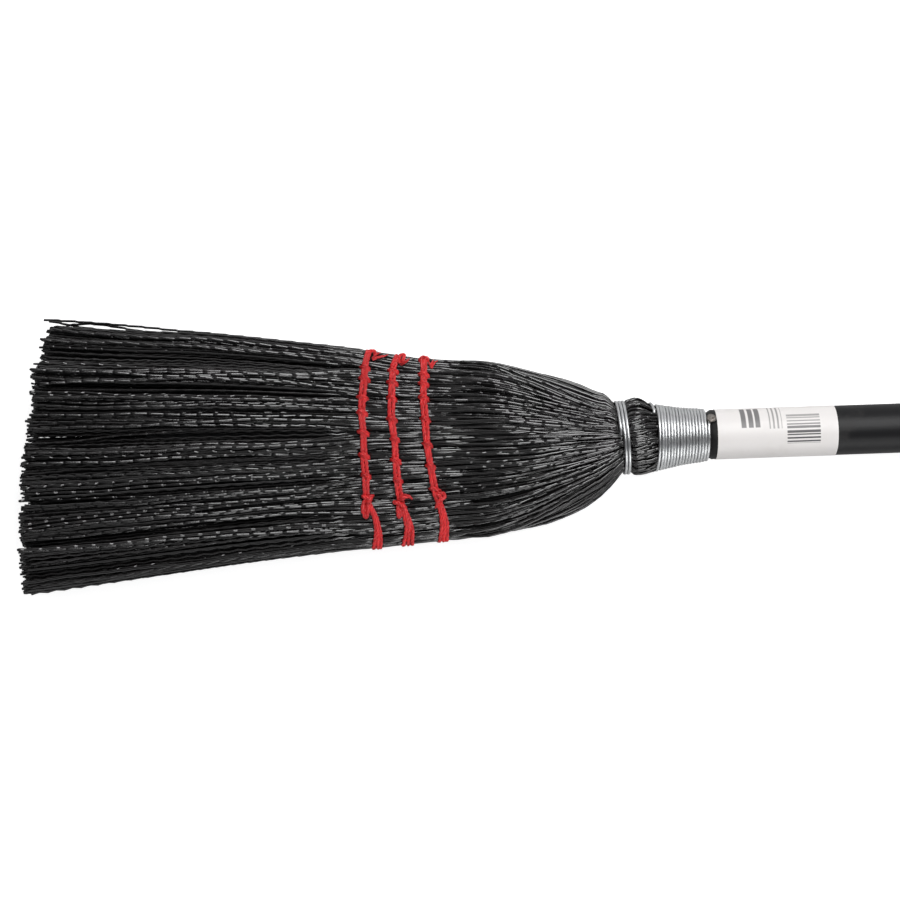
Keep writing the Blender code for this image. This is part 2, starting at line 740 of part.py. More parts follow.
def make_bundles(shop, material):
    """The five bundles of the head, with the handle's bore in the core."""
    bundles = (
        Bundle("core_bristles", (-0.5, 0.5), (-0.5, 0.5), WINDING_LEFT_X, is_core=True),
        Bundle("upper_shoulder_bristles", (0.5, 1.0), (-0.5, 0.5), BUTT_END_X),
        Bundle("lower_shoulder_bristles", (-1.0, -0.5), (-0.5, 0.5), BUTT_END_X),
        Bundle("front_cover_bristles", (-1.0, 1.0), (0.5, 1.0), BUTT_END_X),
        Bundle("back_cover_bristles", (-1.0, 1.0), (-1.0, -0.5), BUTT_END_X),
    )
    for bundle in bundles:
        piece = shop.add(bundle.build(), material)
        if bundle.is_core:
            top = WINDING_LEFT_X + BORE_OVERRUN
            profile = [(0.0, top), (handle_radius(top) + CLEARANCE, top)]
            profile += handle_profile(CLEARANCE, top)
            bore = shop.add_cutter(along_handle(turned("handle_bore_cutter", profile, HANDLE_SIDES)))
            cut(piece, bore, "handle bore")


def row_x(row, y):
    """Place along X of a stitch row's middle, at y across the head."""
    edge_x, drift, bow = row
    reach = y / half_width(edge_x, y)
    return edge_x - drift * reach - bow * (1.0 - reach * reach)


def perimeter(steps_across, steps_side):
    """Places round the square plan, anticlockwise from the upper edge of the front face."""
    corners = ((1.0, 1.0), (-1.0, 1.0), (-1.0, -1.0), (1.0, -1.0))
    places = []
    for side in range(4):
        steps = steps_across if side % 2 == 0 else steps_side
        start, stop = corners[side], corners[(side + 1) % 4]
        for step in range(steps):
            share = (1.0 - math.cos(math.pi * step / steps)) / 2
            a = start[0] + (stop[0] - start[0]) * share
            b = start[1] + (stop[1] - start[1]) * share
            places.append((a, b))
    return places


def make_wrap(shop, number, row, material):
    """Two rounds of twine round the head, as one unbroken tube."""
    places = perimeter(9, 2)
    outline = []
    for a, b in places:
        x = row[0] - row[2] / 2
        y, z = section(x, a, b)
        outline.append(Vector((0.0, y, z)))
    count = len(outline)
    away = CLEARANCE + TWINE_RADIUS
    points = []
    for step in range(WRAP_ROUNDS * count + 1):
        here = outline[step % count]
        before, after = outline[(step - 1) % count], outline[(step + 1) % count]
        edge_in, edge_out = (here - before).normalized(), (after - here).normalized()
        normal_in = Vector((0.0, edge_in.z, -edge_in.y))
        normal_out = Vector((0.0, edge_out.z, -edge_out.y))
        mitre = normal_in + normal_out
        mitre *= 2.0 / mitre.length_squared
        point = here - mitre * away if mitre.dot(here) < 0 else here + mitre * away
        x = row_x(row, here.y) + WRAP_PITCH * (step / count - WRAP_ROUNDS / 2)
        points.append(Vector((x, point.y, point.z)))
    print_least_gap(f"stitch_{number}_wrap", points, TWINE_DIAMETER, count - 2)
    return shop.add(tube(f"stitch_{number}_wrap", points, TWINE_DIAMETER, 1), material)


def lock_point(row, place, offset, level, face):
    """A point of the lock thread: place across the head, offset along X, level over the surface."""
    y = place * half_width(row[0], place)
    x = row_x(row, y) + offset
    y = place * half_width(x, place)
    z = half_thickness(x) * thinning(place) + level
    return Vector((x, y, z * face))


def make_lock(shop, number, row, material):
    """Lock thread: slants over the wrap in front, passes through a gap and returns over the back."""
    low = CLEARANCE + TWINE_RADIUS
    high = 2 * CLEARANCE + TWINE_DIAMETER + TWINE_RADIUS
    places = [-1.0 + 2.0 * gap / CLUMPS for gap in range(CLUMPS + 1)]
    places[0], places[-1] = -0.93, 0.93
    points = []
    for start, stop in zip(places, places[1:]):
        points.append(lock_point(row, start, -LOCK_REACH, low, 1))
        for share, offset in ((0.22, -LOCK_REST), (0.78, LOCK_REST)):
            points.append(lock_point(row, start + (stop - start) * share, offset, high, 1))
        points.append(lock_point(row, stop, LOCK_REACH, low, 1))
        if stop != places[-1]:
            points.append(lock_point(row, stop, LOCK_REACH, low, -1))
            points.append(lock_point(row, stop, LOCK_REST, high, -1))
            points.append(lock_point(row, stop, -LOCK_REST, high, -1))
            points.append(lock_point(row, stop, -LOCK_REACH, low, -1))
    tail = points[-1]
    end_x = tail.x + TAIL_LENGTH
    end_z = section(end_x, places[-1], 1.0)[1] + CLEARANCE + TWINE_RADIUS
    end_y = section(end_x, places[-1], 1.0)[0]
    points.append(Vector((end_x, end_y, max(end_z, tail.z))))
    return shop.add(tube(f"stitch_{number}_lock", points, TWINE_DIAMETER, 1), material)


def make_knot(shop, number, row, material):
    """Tight knot of the twine beside the row, near the lower edge."""
    mesh = bpy.data.meshes.new(f"stitch_{number}_knot")
    shape = bmesh.new()
    bmesh.ops.create_uvsphere(shape, u_segments=10, v_segments=6, radius=KNOT_DIAMETER / 2)
    bmesh.ops.scale(shape, vec=(1.0, 1.25, 0.75), verts=shape.verts)
    shape.to_mesh(mesh)
    shape.free()
    shade_round(mesh)
    knot = bpy.data.objects.new(f"stitch_{number}_knot", mesh)
    height = KNOT_DIAMETER / 2 * 0.75 + CLEARANCE
    knot.location = lock_point(row, KNOT_PLACE, LOCK_REACH + KNOT_DIAMETER / 2, height, 1)
    return shop.add(knot, material)


def make_stitches(shop, material):
    """The three rows of red twine, from the tips' side to the shoulders' side."""
    for number, row in enumerate(STITCH_ROWS, start=1):
        make_wrap(shop, number, row, material)
        make_lock(shop, number, row, material)
        make_knot(shop, number, row, material)


def settle(shop):
    """Tip the broom on to its supports and put its box's bottom centre at the world's origin."""
    drop = TIP_HALF_THICKNESS - HANDLE_RADIUS
    span = GRIP_END_X - GRIP_DOME_LENGTH - TIP_X
    turn = Matrix.Rotation(math.atan2(drop, span), 4, "Y")
    bpy.context.view_layer.update()
    depsgraph = bpy.context.evaluated_depsgraph_get()
    corners = []
    for piece in shop.pieces:
        solid = piece.evaluated_get(depsgraph)
        mesh = solid.to_mesh()
        corners += [turn @ piece.matrix_world @ vertex.co for vertex in mesh.vertices]
        solid.to_mesh_clear()
    low = Vector([min(corner[axis] for corner in corners) for axis in range(3)])
    high = Vector([max(corner[axis] for corner in corners) for axis in range(3)])
    centre = (low + high) / 2
    shop.broom.matrix_world = Matrix.Translation((-centre.x, -centre.y, -low.z)) @ turn
    bpy.context.view_layer.update()
    grip = shop.broom.matrix_world @ Vector((GRIP_END_X, 0.0, 0.0))
    print(f"grip end at {tuple(round(value, 6) for value in grip)}")


def main():
    """Build the broom."""
    clear_scene()
    shop = Workshop()
    painted_wood = make_material("black painted wood", (0.012, 0.012, 0.013), 0.4)
    bristle = make_material("black bristle", (0.02, 0.02, 0.022), 0.45)
    wire = make_material("galvanised wire", (0.62, 0.63, 0.64), 0.3, 1.0)
    twine = make_material("red twine", (0.55, 0.03, 0.04), 0.85)
    paper = make_material("white paper", (0.8, 0.8, 0.78), 0.6)
    make_handle(shop, painted_wood)
    make_label(shop, paper)
    make_bundles(shop, bristle)
    make_core_wire(shop, wire)
    make_throat_band(shop, wire)
    make_neck_winding(shop, wire)
    make_nail(shop, wire)
    make_stitches(shop, twine)
    settle(shop)


main()
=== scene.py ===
"""Lobby broom, dressed: filaments, wire, twine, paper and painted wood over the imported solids.

Sizes are in metres along the broom's own axes: X runs down the handle to the grip end, Y across the
head and Z out of the front face. X = 0 lies in the throat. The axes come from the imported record.
Curves, lists of points and values named _mm are in millimetres, and are scaled where they are used.
"""

import json
import logging
import math
from dataclasses import dataclass, field
from enum import Enum
from typing import Any, Sequence

import bpy
import numpy as np
from mathutils import Matrix


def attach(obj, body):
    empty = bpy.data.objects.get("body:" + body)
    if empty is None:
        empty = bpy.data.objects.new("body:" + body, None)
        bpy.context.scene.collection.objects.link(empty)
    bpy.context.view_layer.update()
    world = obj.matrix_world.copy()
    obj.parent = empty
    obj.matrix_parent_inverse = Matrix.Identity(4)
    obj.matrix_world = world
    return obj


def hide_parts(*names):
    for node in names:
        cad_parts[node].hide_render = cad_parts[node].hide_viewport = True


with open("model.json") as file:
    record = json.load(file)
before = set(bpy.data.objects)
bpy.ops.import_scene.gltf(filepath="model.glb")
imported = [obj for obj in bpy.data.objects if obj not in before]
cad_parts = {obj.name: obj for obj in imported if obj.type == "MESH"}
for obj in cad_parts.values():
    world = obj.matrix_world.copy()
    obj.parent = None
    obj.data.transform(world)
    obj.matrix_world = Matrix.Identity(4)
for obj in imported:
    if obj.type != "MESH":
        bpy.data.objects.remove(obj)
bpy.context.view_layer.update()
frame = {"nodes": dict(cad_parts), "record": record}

MM = 0.001
BODY = "root"
SEED = 11
GRIP_END_X = 640.0 * MM
NAIL_ANGLE = math.radians(35.4)
# Multiples of these two, less their whole parts, spread evenly from 0 to 1 without a pattern.
GOLDEN_STEP = 0.6180339887
PLASTIC_STEP = 0.7548776662
LOG = logging.getLogger("lobby_broom")
Array = np.ndarray
Curve = tuple[tuple[float, ...], tuple[float, ...]]
Span = tuple[float, float]


def smooth(value: Array, low: float, high: float) -> Array:
    """Rise smoothly from 0 to 1.

    Args:
        value: Numbers to read.
        low: Where the rise starts. It may lie above high, and then the rise runs downwards.
        high: Where the rise ends.

    Returns:
        One share from 0 to 1 for each value.
    """
    share = np.clip((np.asarray(value, float) - low) / (high - low), 0.0, 1.0)
    return share * share * (3.0 - 2.0 * share)


def within(value: Array, start: float, full: float, fade: float, end: float) -> Array:
    """Rise smoothly from 0 to 1, stay there and fall again.

    Args:
        value: Numbers to read.
        start: Where the rise starts.
        full: Where the rise ends.
        fade: Where the fall starts.
        end: Where the fall ends.

    Returns:
        One share from 0 to 1 for each value.
    """
    return smooth(value, start, full) * smooth(value, end, fade)


def on_stripes(place: Array, pitch: float, shift: float, share: float) -> Array:
    """Whether places lie on stripes.

    Args:
        place: Places across the stripes.
        pitch: From one stripe to the next, in the unit of the places.
        shift: Where the stripes begin, as a share of the pitch.
        share: Share of the pitch that a stripe takes.

    Returns:
        True where a place lies on a stripe.
    """
    return (place / pitch + shift) % 1.0 < share


def unit(vectors: Array) -> Array:
    """Scale rows to a length of one."""
    return vectors / np.maximum(np.linalg.norm(vectors, axis=-1, keepdims=True), 1e-12)


def reach_along(points: Array) -> Array:
    """Distance run along a line of points, from 0 at the first one."""
    return np.concatenate([[0.0], np.cumsum(np.linalg.norm(np.diff(points, axis=0), axis=1))])


def through(places: Sequence[float], values: Sequence[float], at: Array) -> Array:
    """Read a smooth curve through a few points.

    Args:
        places: Where the points lie, in rising order.
        values: The curve's value at each place.
        at: Where the curve is read.

    Returns:
        The curve's values.
    """
    xs, ys = np.asarray(places, float), np.asarray(values, float)
    slopes = np.gradient(ys, xs)
    at = np.clip(np.asarray(at, float), xs[0], xs[-1])
    left = np.clip(np.searchsorted(xs, at) - 1, 0, len(xs) - 2)
    span = xs[left + 1] - xs[left]
    t = (at - xs[left]) / span
    first = (1 + 2 * t) * (1 - t) ** 2 * ys[left] + t * (1 - t) ** 2 * span * slopes[left]
    second = t * t * (3 - 2 * t) * ys[left + 1] + t * t * (t - 1) * span * slopes[left + 1]
    return first + second


def curve_points(points: Sequence[Sequence[float]], spacing: float) -> Array:
    """Draw a smooth line through points.

    Args:
        points: The points that the line passes through.
        spacing: Distance between the points of the result.

    Returns:
        Points along the line.
    """
    knots = np.asarray(points, float)
    reach = reach_along(knots)
    at = np.linspace(0.0, reach[-1], max(3, int(reach[-1] / spacing) + 1))
    return np.stack([through(reach, knots[:, axis], at) for axis in range(3)], axis=1)


def stand(right: Array, up: Array, back: Array, spot: Array) -> Matrix:
    """Matrix of an object that stands at a place.

    Args:
        right: Its own X direction.
        up: Its own Y direction.
        back: Its own Z direction.
        spot: Its place.

    Returns:
        The matrix.
    """
    return Matrix([[right[i], up[i], back[i], spot[i]] for i in range(3)] + [[0, 0, 0, 1]])


@dataclass(frozen=True)
class BroomAxes:
    """The broom's own axes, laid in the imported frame."""

    origin: Array
    rows: Array

    @classmethod
    def from_record(cls, record: dict[str, Any]) -> "BroomAxes":
        """Read the axes from the flat disc at the grip end.

        Args:
            record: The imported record, with the grip end's place and direction.

        Returns:
            The axes.
        """
        mount = record["mounts"][0]
        along = unit(np.array(mount["axis"], float))
        across = np.array([0.0, 1.0, 0.0])
        rows = np.stack([along, across, np.cross(along, across)])
        return cls(np.array(mount["pos_m"], float) - along * GRIP_END_X, rows)

    def to_frame(self, points: Array) -> Array:
        """Points of the broom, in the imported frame."""
        return points @ self.rows + self.origin


class Draft:
    """A mesh in the making, which gathers tubes and skins and then becomes one object."""

    def __init__(self) -> None:
        """Start empty."""
        self.points: list[Array] = []
        self.corners: list[Array] = []
        self.counts: list[Array] = []
        self.tones: list[Array] = []
        self.size = 0

    def grid(self, rings: Array, tone: float = 0.5) -> None:
        """Add a skin over closed rings of points, with a face on the first ring and on the last.

        Args:
            rings: Points as (ring, place in the ring, axis), turning outwards about the path.
            tone: A number from 0 to 1 that the finish reads, the same all over this skin.
        """
        steps, sides = rings.shape[:2]
        index = np.arange(steps * sides).reshape(steps, sides) + self.size
        ahead = np.roll(index, -1, axis=1)
        quads = np.stack([index[:-1], ahead[:-1], ahead[1:], index[1:]], axis=-1).reshape(-1, 4)
        self.corners += [quads.ravel(), index[0][::-1], index[-1]]
        self.counts += [np.full(len(quads), 4), np.array([sides, sides])]
        self.points.append(rings.reshape(-1, 3))
        self.tones.append(np.full(steps * sides, tone))
        self.size += steps * sides

    def tube(self, path: Array, radius: Array | float, sides: int, up: Sequence[float] | Array,
             tone: float = 0.5) -> None:
        """Sweep a round section along a path and close its ends.

        Args:
            path: Points of the centre line.
            radius: Radius, one for all or one for each point.
            sides: Corners of the section.
            up: Direction from which the section's corners are counted, one for all or for each point.
            tone: A number from 0 to 1 that the finish reads.
        """
        tangent = unit(np.gradient(path, axis=0))
        high = np.broadcast_to(np.asarray(up, float), path.shape)
        high = unit(high - tangent * np.sum(high * tangent, axis=1, keepdims=True))
        wide = np.cross(tangent, high)
        turn = 2 * math.pi * (np.arange(sides) + 0.5) / sides
        size = np.broadcast_to(np.asarray(radius, float), (len(path),))[:, None, None]
        rings = path[:, None] + size * (
            high[:, None] * np.cos(turn)[None, :, None] + wide[:, None] * np.sin(turn)[None, :, None]
        )
        self.grid(rings, tone=tone)

    def turned(self, profile: Sequence[Span], sides: int) -> None:
        """Turn a profile about the handle's axis.

        Args:
            profile: (x, radius) points in rising order of x.
            sides: Corners round the axis.
        """
        turn = 2 * math.pi * np.arange(sides) / sides
        rings = [
            np.stack([np.full(sides, x), -radius * np.sin(turn), radius * np.cos(turn)], axis=1)
            for x, radius in profile
        ]
        self.grid(np.array(rings))

    def build(self, name: str, axes: BroomAxes, sharp_angle: float | None = None) -> bpy.types.Object:
        """Make the object and put it on the frame.

        Args:
            name: The piece's name.
            axes: The broom's axes.
            sharp_angle: Edges above this many degrees stay sharp. None smooths all.

        Returns:
            The object, smooth, with its tone kept as an attribute.
        """
        mesh = bpy.data.meshes.new(name)
        points = axes.to_frame(np.concatenate(self.points)).astype(np.float32)
        corners = np.concatenate(self.corners).astype(np.int32)
        counts = np.concatenate(self.counts)
        mesh.vertices.add(len(points))
        mesh.vertices.foreach_set("co", points.ravel())
        mesh.loops.add(len(corners))
        mesh.loops.foreach_set("vertex_index", corners)
        mesh.polygons.add(len(counts))
        mesh.polygons.foreach_set("loop_start", (np.cumsum(counts) - counts).astype(np.int32))
        mesh.update(calc_edges=True)
        mesh.validate()
        attribute = mesh.attributes.new("tone", "FLOAT", "POINT")
        attribute.data.foreach_set("value", np.concatenate(self.tones).astype(np.float32))
        mesh.shade_smooth()
        if sharp_angle is not None:
            mesh.set_sharp_from_angle(angle=math.radians(sharp_angle))
        piece = bpy.data.objects.new(name, mesh)
        bpy.context.scene.collection.objects.link(piece)
        return piece


def dress(piece: bpy.types.Object, material: bpy.types.Material, slot: str, *nodes: str) -> None:
    """Give a piece its finish and its place on the frame.

    Args:
        piece: The new piece.
        material: Its material.
        slot: The record's material slot; not used.
        nodes: The CAD nodes that it stands for.
    """
    piece.data.materials.append(material)
    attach(piece, BODY)
    if nodes:
        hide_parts(*nodes)
    LOG.info("%s: %d faces", piece.name, len(piece.data.polygons))


class EffectGroups:
    """Shader groups that several finishes share, each made once."""

    def __init__(self) -> None:
        """Make every group."""
        self.grain = self.make_grain()
        self.mottle = self.make_mottle()

    @staticmethod
    def start(name: str, output: str, **inputs: float) -> Any:
        """Start a group whose sockets are all plain numbers.

        Args:
            name: The group's name.
            output: Name of its output.
            inputs: Name and starting value of each input.

        Returns:
            The group, its input node and its output node.
        """
        group = bpy.data.node_groups.new(name, "ShaderNodeTree")
        for title, value in inputs.items():
            socket = group.interface.new_socket(name=title, in_out="INPUT", socket_type="NodeSocketFloat")
            socket.default_value = value
        group.interface.new_socket(name=output, in_out="OUTPUT", socket_type="NodeSocketFloat")
        return group, group.nodes.new("NodeGroupInput"), group.nodes.new("NodeGroupOutput")

    def make_grain(self) -> bpy.types.NodeTree:
        """Grain: fine lines that run along X, for extruded filament and turned wood.

        Returns:
            The group, with output Height and inputs Fineness, in lines a metre, and Run, which is how
            fine the lines are along X as a share of that.
        """
        group, source, result = self.start("long_grain", "Height", Fineness=900.0, Run=0.03)
        nodes, links = group.nodes, group.links
        place = nodes.new("ShaderNodeTexCoord")
        stretch = nodes.new("ShaderNodeCombineXYZ")
        stretch.inputs[1].default_value = 1.0
        stretch.inputs[2].default_value = 1.0
        links.new(source.outputs["Run"], stretch.inputs[0])
        scaled = nodes.new("ShaderNodeVectorMath")
        scaled.operation = "MULTIPLY"
        links.new(place.outputs["Object"], scaled.inputs[0])
        links.new(stretch.outputs[0], scaled.inputs[1])
        noise = nodes.new("ShaderNodeTexNoise")
        noise.inputs["Detail"].default_value = 3.0
        links.new(scaled.outputs[0], noise.inputs["Vector"])
        links.new(source.outputs["Fineness"], noise.inputs["Scale"])
        links.new(noise.outputs["Fac"], result.inputs["Height"])
        return group

    def make_mottle(self) -> bpy.types.NodeTree:
        """Mottle: soft uneven patches, for wear, dust and cloudy metal.

        Returns:
            The group, with inputs Scale, Low and High, and output Mask from 0 to 1.
        """
        group, source, result = self.start("soft_mottle", "Mask", Scale=120.0, Low=0.45, High=0.65)
        nodes, links = group.nodes, group.links
        place = nodes.new("ShaderNodeTexCoord")
        noise = nodes.new("ShaderNodeTexNoise")
        noise.inputs["Detail"].default_value = 5.0
        noise.inputs["Roughness"].default_value = 0.6
        links.new(place.outputs["Object"], noise.inputs["Vector"])
        links.new(source.outputs["Scale"], noise.inputs["Scale"])
        remap = nodes.new("ShaderNodeMapRange")
        remap.interpolation_type = "SMOOTHSTEP"
        links.new(noise.outputs["Fac"], remap.inputs["Value"])
        links.new(source.outputs["Low"], remap.inputs["From Min"])
        links.new(source.outputs["High"], remap.inputs["From Max"])
        links.new(remap.outputs["Result"], result.inputs["Mask"])
        return group


class Paint:
    """A material being put together round one Principled shader."""

    def __init__(self, name: str, metallic: float = 0.0) -> None:
        """Start a material.

        Args:
            name: Its name.
            metallic: Metallic value.
        """
        self.material = bpy.data.materials.new(name)
        self.material.use_nodes = True
        self.tree = self.material.node_tree
        self.shader = self.tree.nodes["Principled BSDF"]
        self.shader.inputs["Metallic"].default_value = metallic

    def set(self, **values: float) -> None:
        """Set constant sockets of the shader, named with underscores for spaces."""
        for title, value in values.items():
            self.shader.inputs[title.replace("_", " ")].default_value = value

    def group(self, tree: bpy.types.NodeTree, **values: float) -> Any:
        """Place a shared group.

        Args:
            tree: The group.
            values: Its inputs.

        Returns:
            The group's first output.
        """
        node = self.tree.nodes.new("ShaderNodeGroup")
        node.node_tree = tree
        for title, value in values.items():
            node.inputs[title].default_value = value
        return node.outputs[0]

    def attribute(self, title: str) -> Any:
        """Place a mesh attribute.

        Args:
            title: Its name.

        Returns:
            The socket of its value.
        """
        node = self.tree.nodes.new("ShaderNodeAttribute")
        node.attribute_name = title
        return node.outputs["Fac"]

    def math(self, operation: str, first: Any, second: Any, third: Any = 0.0) -> Any:
        """Join numbers.

        Args:
            operation: Name of Blender's operation.
            first: A socket or a number.
            second: A socket or a number.
            third: A socket or a number, for the operations that take three.

        Returns:
            The result's socket.
        """
        node = self.tree.nodes.new("ShaderNodeMath")
        node.operation = operation
        for socket, value in zip(node.inputs, (first, second, third)):
            if isinstance(value, bpy.types.NodeSocket):
                self.tree.links.new(value, socket)
            else:
                socket.default_value = value
        return node.outputs[0]

    def blend(self, mask: Any, first: Any, second: Any) -> Any:
        """Mix two colours.

        Args:
            mask: Socket of the second colour's share.
            first: A colour or a socket.
            second: A colour or a socket.

        Returns:
            The mixed colour's socket.
        """
        node = self.tree.nodes.new("ShaderNodeMix")
        node.data_type = "RGBA"
        self.tree.links.new(mask, node.inputs["Factor"])
        colours = [socket for socket in node.inputs if socket.type == "RGBA"]
        for socket, value in zip(colours, (first, second)):
            if isinstance(value, bpy.types.NodeSocket):
                self.tree.links.new(value, socket)
            else:
                socket.default_value = (*value, 1.0)
        return [socket for socket in node.outputs if socket.type == "RGBA"][0]

    def colour(self, socket: Any) -> None:
        """Feed the base colour."""
        self.tree.links.new(socket, self.shader.inputs["Base Color"])

    def roughness(self, mask: Any, low: float, high: float) -> None:
        """Let a mask move the roughness between two values.

        Args:
            mask: Socket of the mask, from 0 to 1.
            low: Roughness where the mask is 0.
            high: Roughness where the mask is 1.
        """
        node = self.tree.nodes.new("ShaderNodeMapRange")
        node.inputs["To Min"].default_value = low
        node.inputs["To Max"].default_value = high
        self.tree.links.new(mask, node.inputs["Value"])
        self.tree.links.new(node.outputs["Result"], self.shader.inputs["Roughness"])

    def bump(self, height: Any, depth: float, strength: float) -> None:
        """Raise the surface by a height.

        Args:
            height: Socket of the height, from 0 to 1.
            depth: Height of 1, in metres.
            strength: Bump's strength.
        """
        node = self.tree.nodes.new("ShaderNodeBump")
        node.inputs["Strength"].default_value = strength
        node.inputs["Distance"].default_value = depth
        self.tree.links.new(height, node.inputs["Height"])
        self.tree.links.new(node.outputs["Normal"], self.shader.inputs["Normal"])


@dataclass(frozen=True)
class BristleFinish:
    """Black extruded plastic: glossy, with lines along its length and a little grey dust."""

    black: tuple[float, float, float] = (0.0062, 0.0056, 0.0056)
    worn: tuple[float, float, float] = (0.020, 0.017, 0.017)
    smooth_gloss: float = 0.13
    dull_gloss: float = 0.24

    def material(self, effects: EffectGroups) -> bpy.types.Material:
        """Make the material.

        Args:
            effects: The shared groups.

        Returns:
            The material.
        """
        paint = Paint("black_filament")
        paint.set(IOR=1.86)
        dust = paint.group(effects.mottle, Scale=260.0, Low=0.4, High=0.75)
        tone = paint.attribute("tone")
        share = paint.math("MULTIPLY", dust, tone)
        paint.colour(paint.blend(share, self.black, self.worn))
        paint.roughness(tone, self.smooth_gloss, self.dull_gloss)
        lines = paint.group(effects.grain, Fineness=3500.0, Run=0.02)
        paint.bump(lines, depth=0.00004, strength=0.5)
        return paint.material


@dataclass(frozen=True)
class WireFinish:
    """Bright galvanised wire under cloudy zinc."""

    bright: tuple[float, float, float] = (0.82, 0.83, 0.835)
    cloudy: tuple[float, float, float] = (0.70, 0.71, 0.72)

    def material(self, effects: EffectGroups) -> bpy.types.Material:
        """Make the material.

        Args:
            effects: The shared groups.

        Returns:
            The material.
        """
        paint = Paint("galvanised_wire", metallic=1.0)
        zinc = paint.group(effects.mottle, Scale=260.0, Low=0.35, High=0.7)
        paint.colour(paint.blend(zinc, self.bright, self.cloudy))
        paint.roughness(zinc, low=0.33, high=0.40)
        return paint.material


@dataclass(frozen=True)
class NailFinish:
    """Dull steel with brown stains."""

    steel: tuple[float, float, float] = (0.27, 0.25, 0.235)
    stain: tuple[float, float, float] = (0.13, 0.11, 0.095)

    def material(self, effects: EffectGroups) -> bpy.types.Material:
        """Make the material.

        Args:
            effects: The shared groups.

        Returns:
            The material.
        """
        paint = Paint("nail_steel", metallic=0.85)
        stain = paint.group(effects.mottle, Scale=900.0, Low=0.4, High=0.65)
        paint.colour(paint.blend(stain, self.steel, self.stain))
        paint.roughness(stain, low=0.38, high=0.62)
        pits = paint.group(effects.mottle, Scale=1600.0, Low=0.3, High=0.7)
        paint.bump(pits, depth=0.00006, strength=0.6)
        return paint.material


@dataclass(frozen=True)
class TwineFinish:
    """Red spun twine, lighter and darker at random from ply to ply, with painted highlight in fine bright
    red patches, where the fibres are also shinier, and painted shade in deep red between them.
    """

    # Bright red: the lighter plies, and the painted highlight on the fibre patches.
    red: tuple[float, float, float] = (1.0, 0.036, 0.042)
    # Deep red: the darker plies, and the painted shade between the fibre patches.
    deep: tuple[float, float, float] = (0.44, 0.005, 0.008)

    def material(self, effects: EffectGroups) -> bpy.types.Material:
        """Make the material.

        Args:
            effects: The shared groups.

        Returns:
            The material.
        """
        paint = Paint("red_twine")
        fibres = paint.group(effects.mottle, Scale=2600.0, Low=0.35, High=0.6)
        # Fine fibre patches, painted as highlight where they turn bright red and as shade where they turn
        # deep red, added to a random share for each ply.
        fibre_glint_and_shade = paint.math("MULTIPLY", fibres, 0.4)
        share = paint.math("MULTIPLY_ADD", paint.attribute("tone"), 0.6, fibre_glint_and_shade)
        paint.colour(paint.blend(share, self.deep, self.red))
        paint.roughness(fibres, low=0.46, high=0.28)
        paint.set(Specular_IOR_Level=0.8)
        paint.bump(fibres, depth=0.00012, strength=0.7)
        return paint.material


@dataclass(frozen=True)
class PaintFinish:
    """Satin black paint on a turned dowel, with the wood's grain under it."""

    black: tuple[float, float, float] = (0.010, 0.010, 0.011)
    rubbed: tuple[float, float, float] = (0.030, 0.029, 0.029)

    def material(self, effects: EffectGroups) -> bpy.types.Material:
        """Make the material.

        Args:
            effects: The shared groups.

        Returns:
            The material.
        """
        paint = Paint("satin_black_paint")
        rub = paint.group(effects.mottle, Scale=60.0, Low=0.5, High=0.75)
        paint.colour(paint.blend(rub, self.black, self.rubbed))
        paint.set(IOR=1.31)
        paint.roughness(rub, low=0.40, high=0.52)
        grain = paint.group(effects.grain, Fineness=700.0, Run=0.02)
        paint.bump(grain, depth=0.00010, strength=0.5)
        return paint.material


@dataclass(frozen=True)
class PaperFinish:
    """Coated white paper with plain grey bars printed on it."""

    white: tuple[float, float, float] = (0.885, 0.855, 0.84)
    ink: tuple[float, float, float] = (0.05, 0.05, 0.055)
    soiled: tuple[float, float, float] = (0.85, 0.815, 0.795)

    def material(self, effects: EffectGroups) -> bpy.types.Material:
        """Make the material.

        Args:
            effects: The shared groups.

        Returns:
            The material.
        """
        paint = Paint("label_paper")
        soil = paint.group(effects.mottle, Scale=90.0, Low=0.5, High=0.8)
        paper = paint.blend(soil, self.white, self.soiled)
        paint.colour(paint.blend(paint.attribute("tone"), paper, self.ink))
        paint.roughness(soil, low=0.42, high=0.6)
        pulp = paint.group(effects.mottle, Scale=1500.0, Low=0.2, High=0.8)
        paint.bump(pulp, depth=0.00002, strength=0.4)
        return paint.material


class Face(Enum):
    """The four outer faces of the head."""

    FRONT = "front_cover"
    BACK = "back_cover"
    UPPER = "upper_shoulder"
    LOWER = "lower_shoulder"

    @property
    def is_broad(self) -> bool:
        """Whether it is the front or the back."""
        return self in (Face.FRONT, Face.BACK)

    @property
    def sign(self) -> float:
        """Side of the axis on which it lies."""
        return 1.0 if self in (Face.FRONT, Face.UPPER) else -1.0


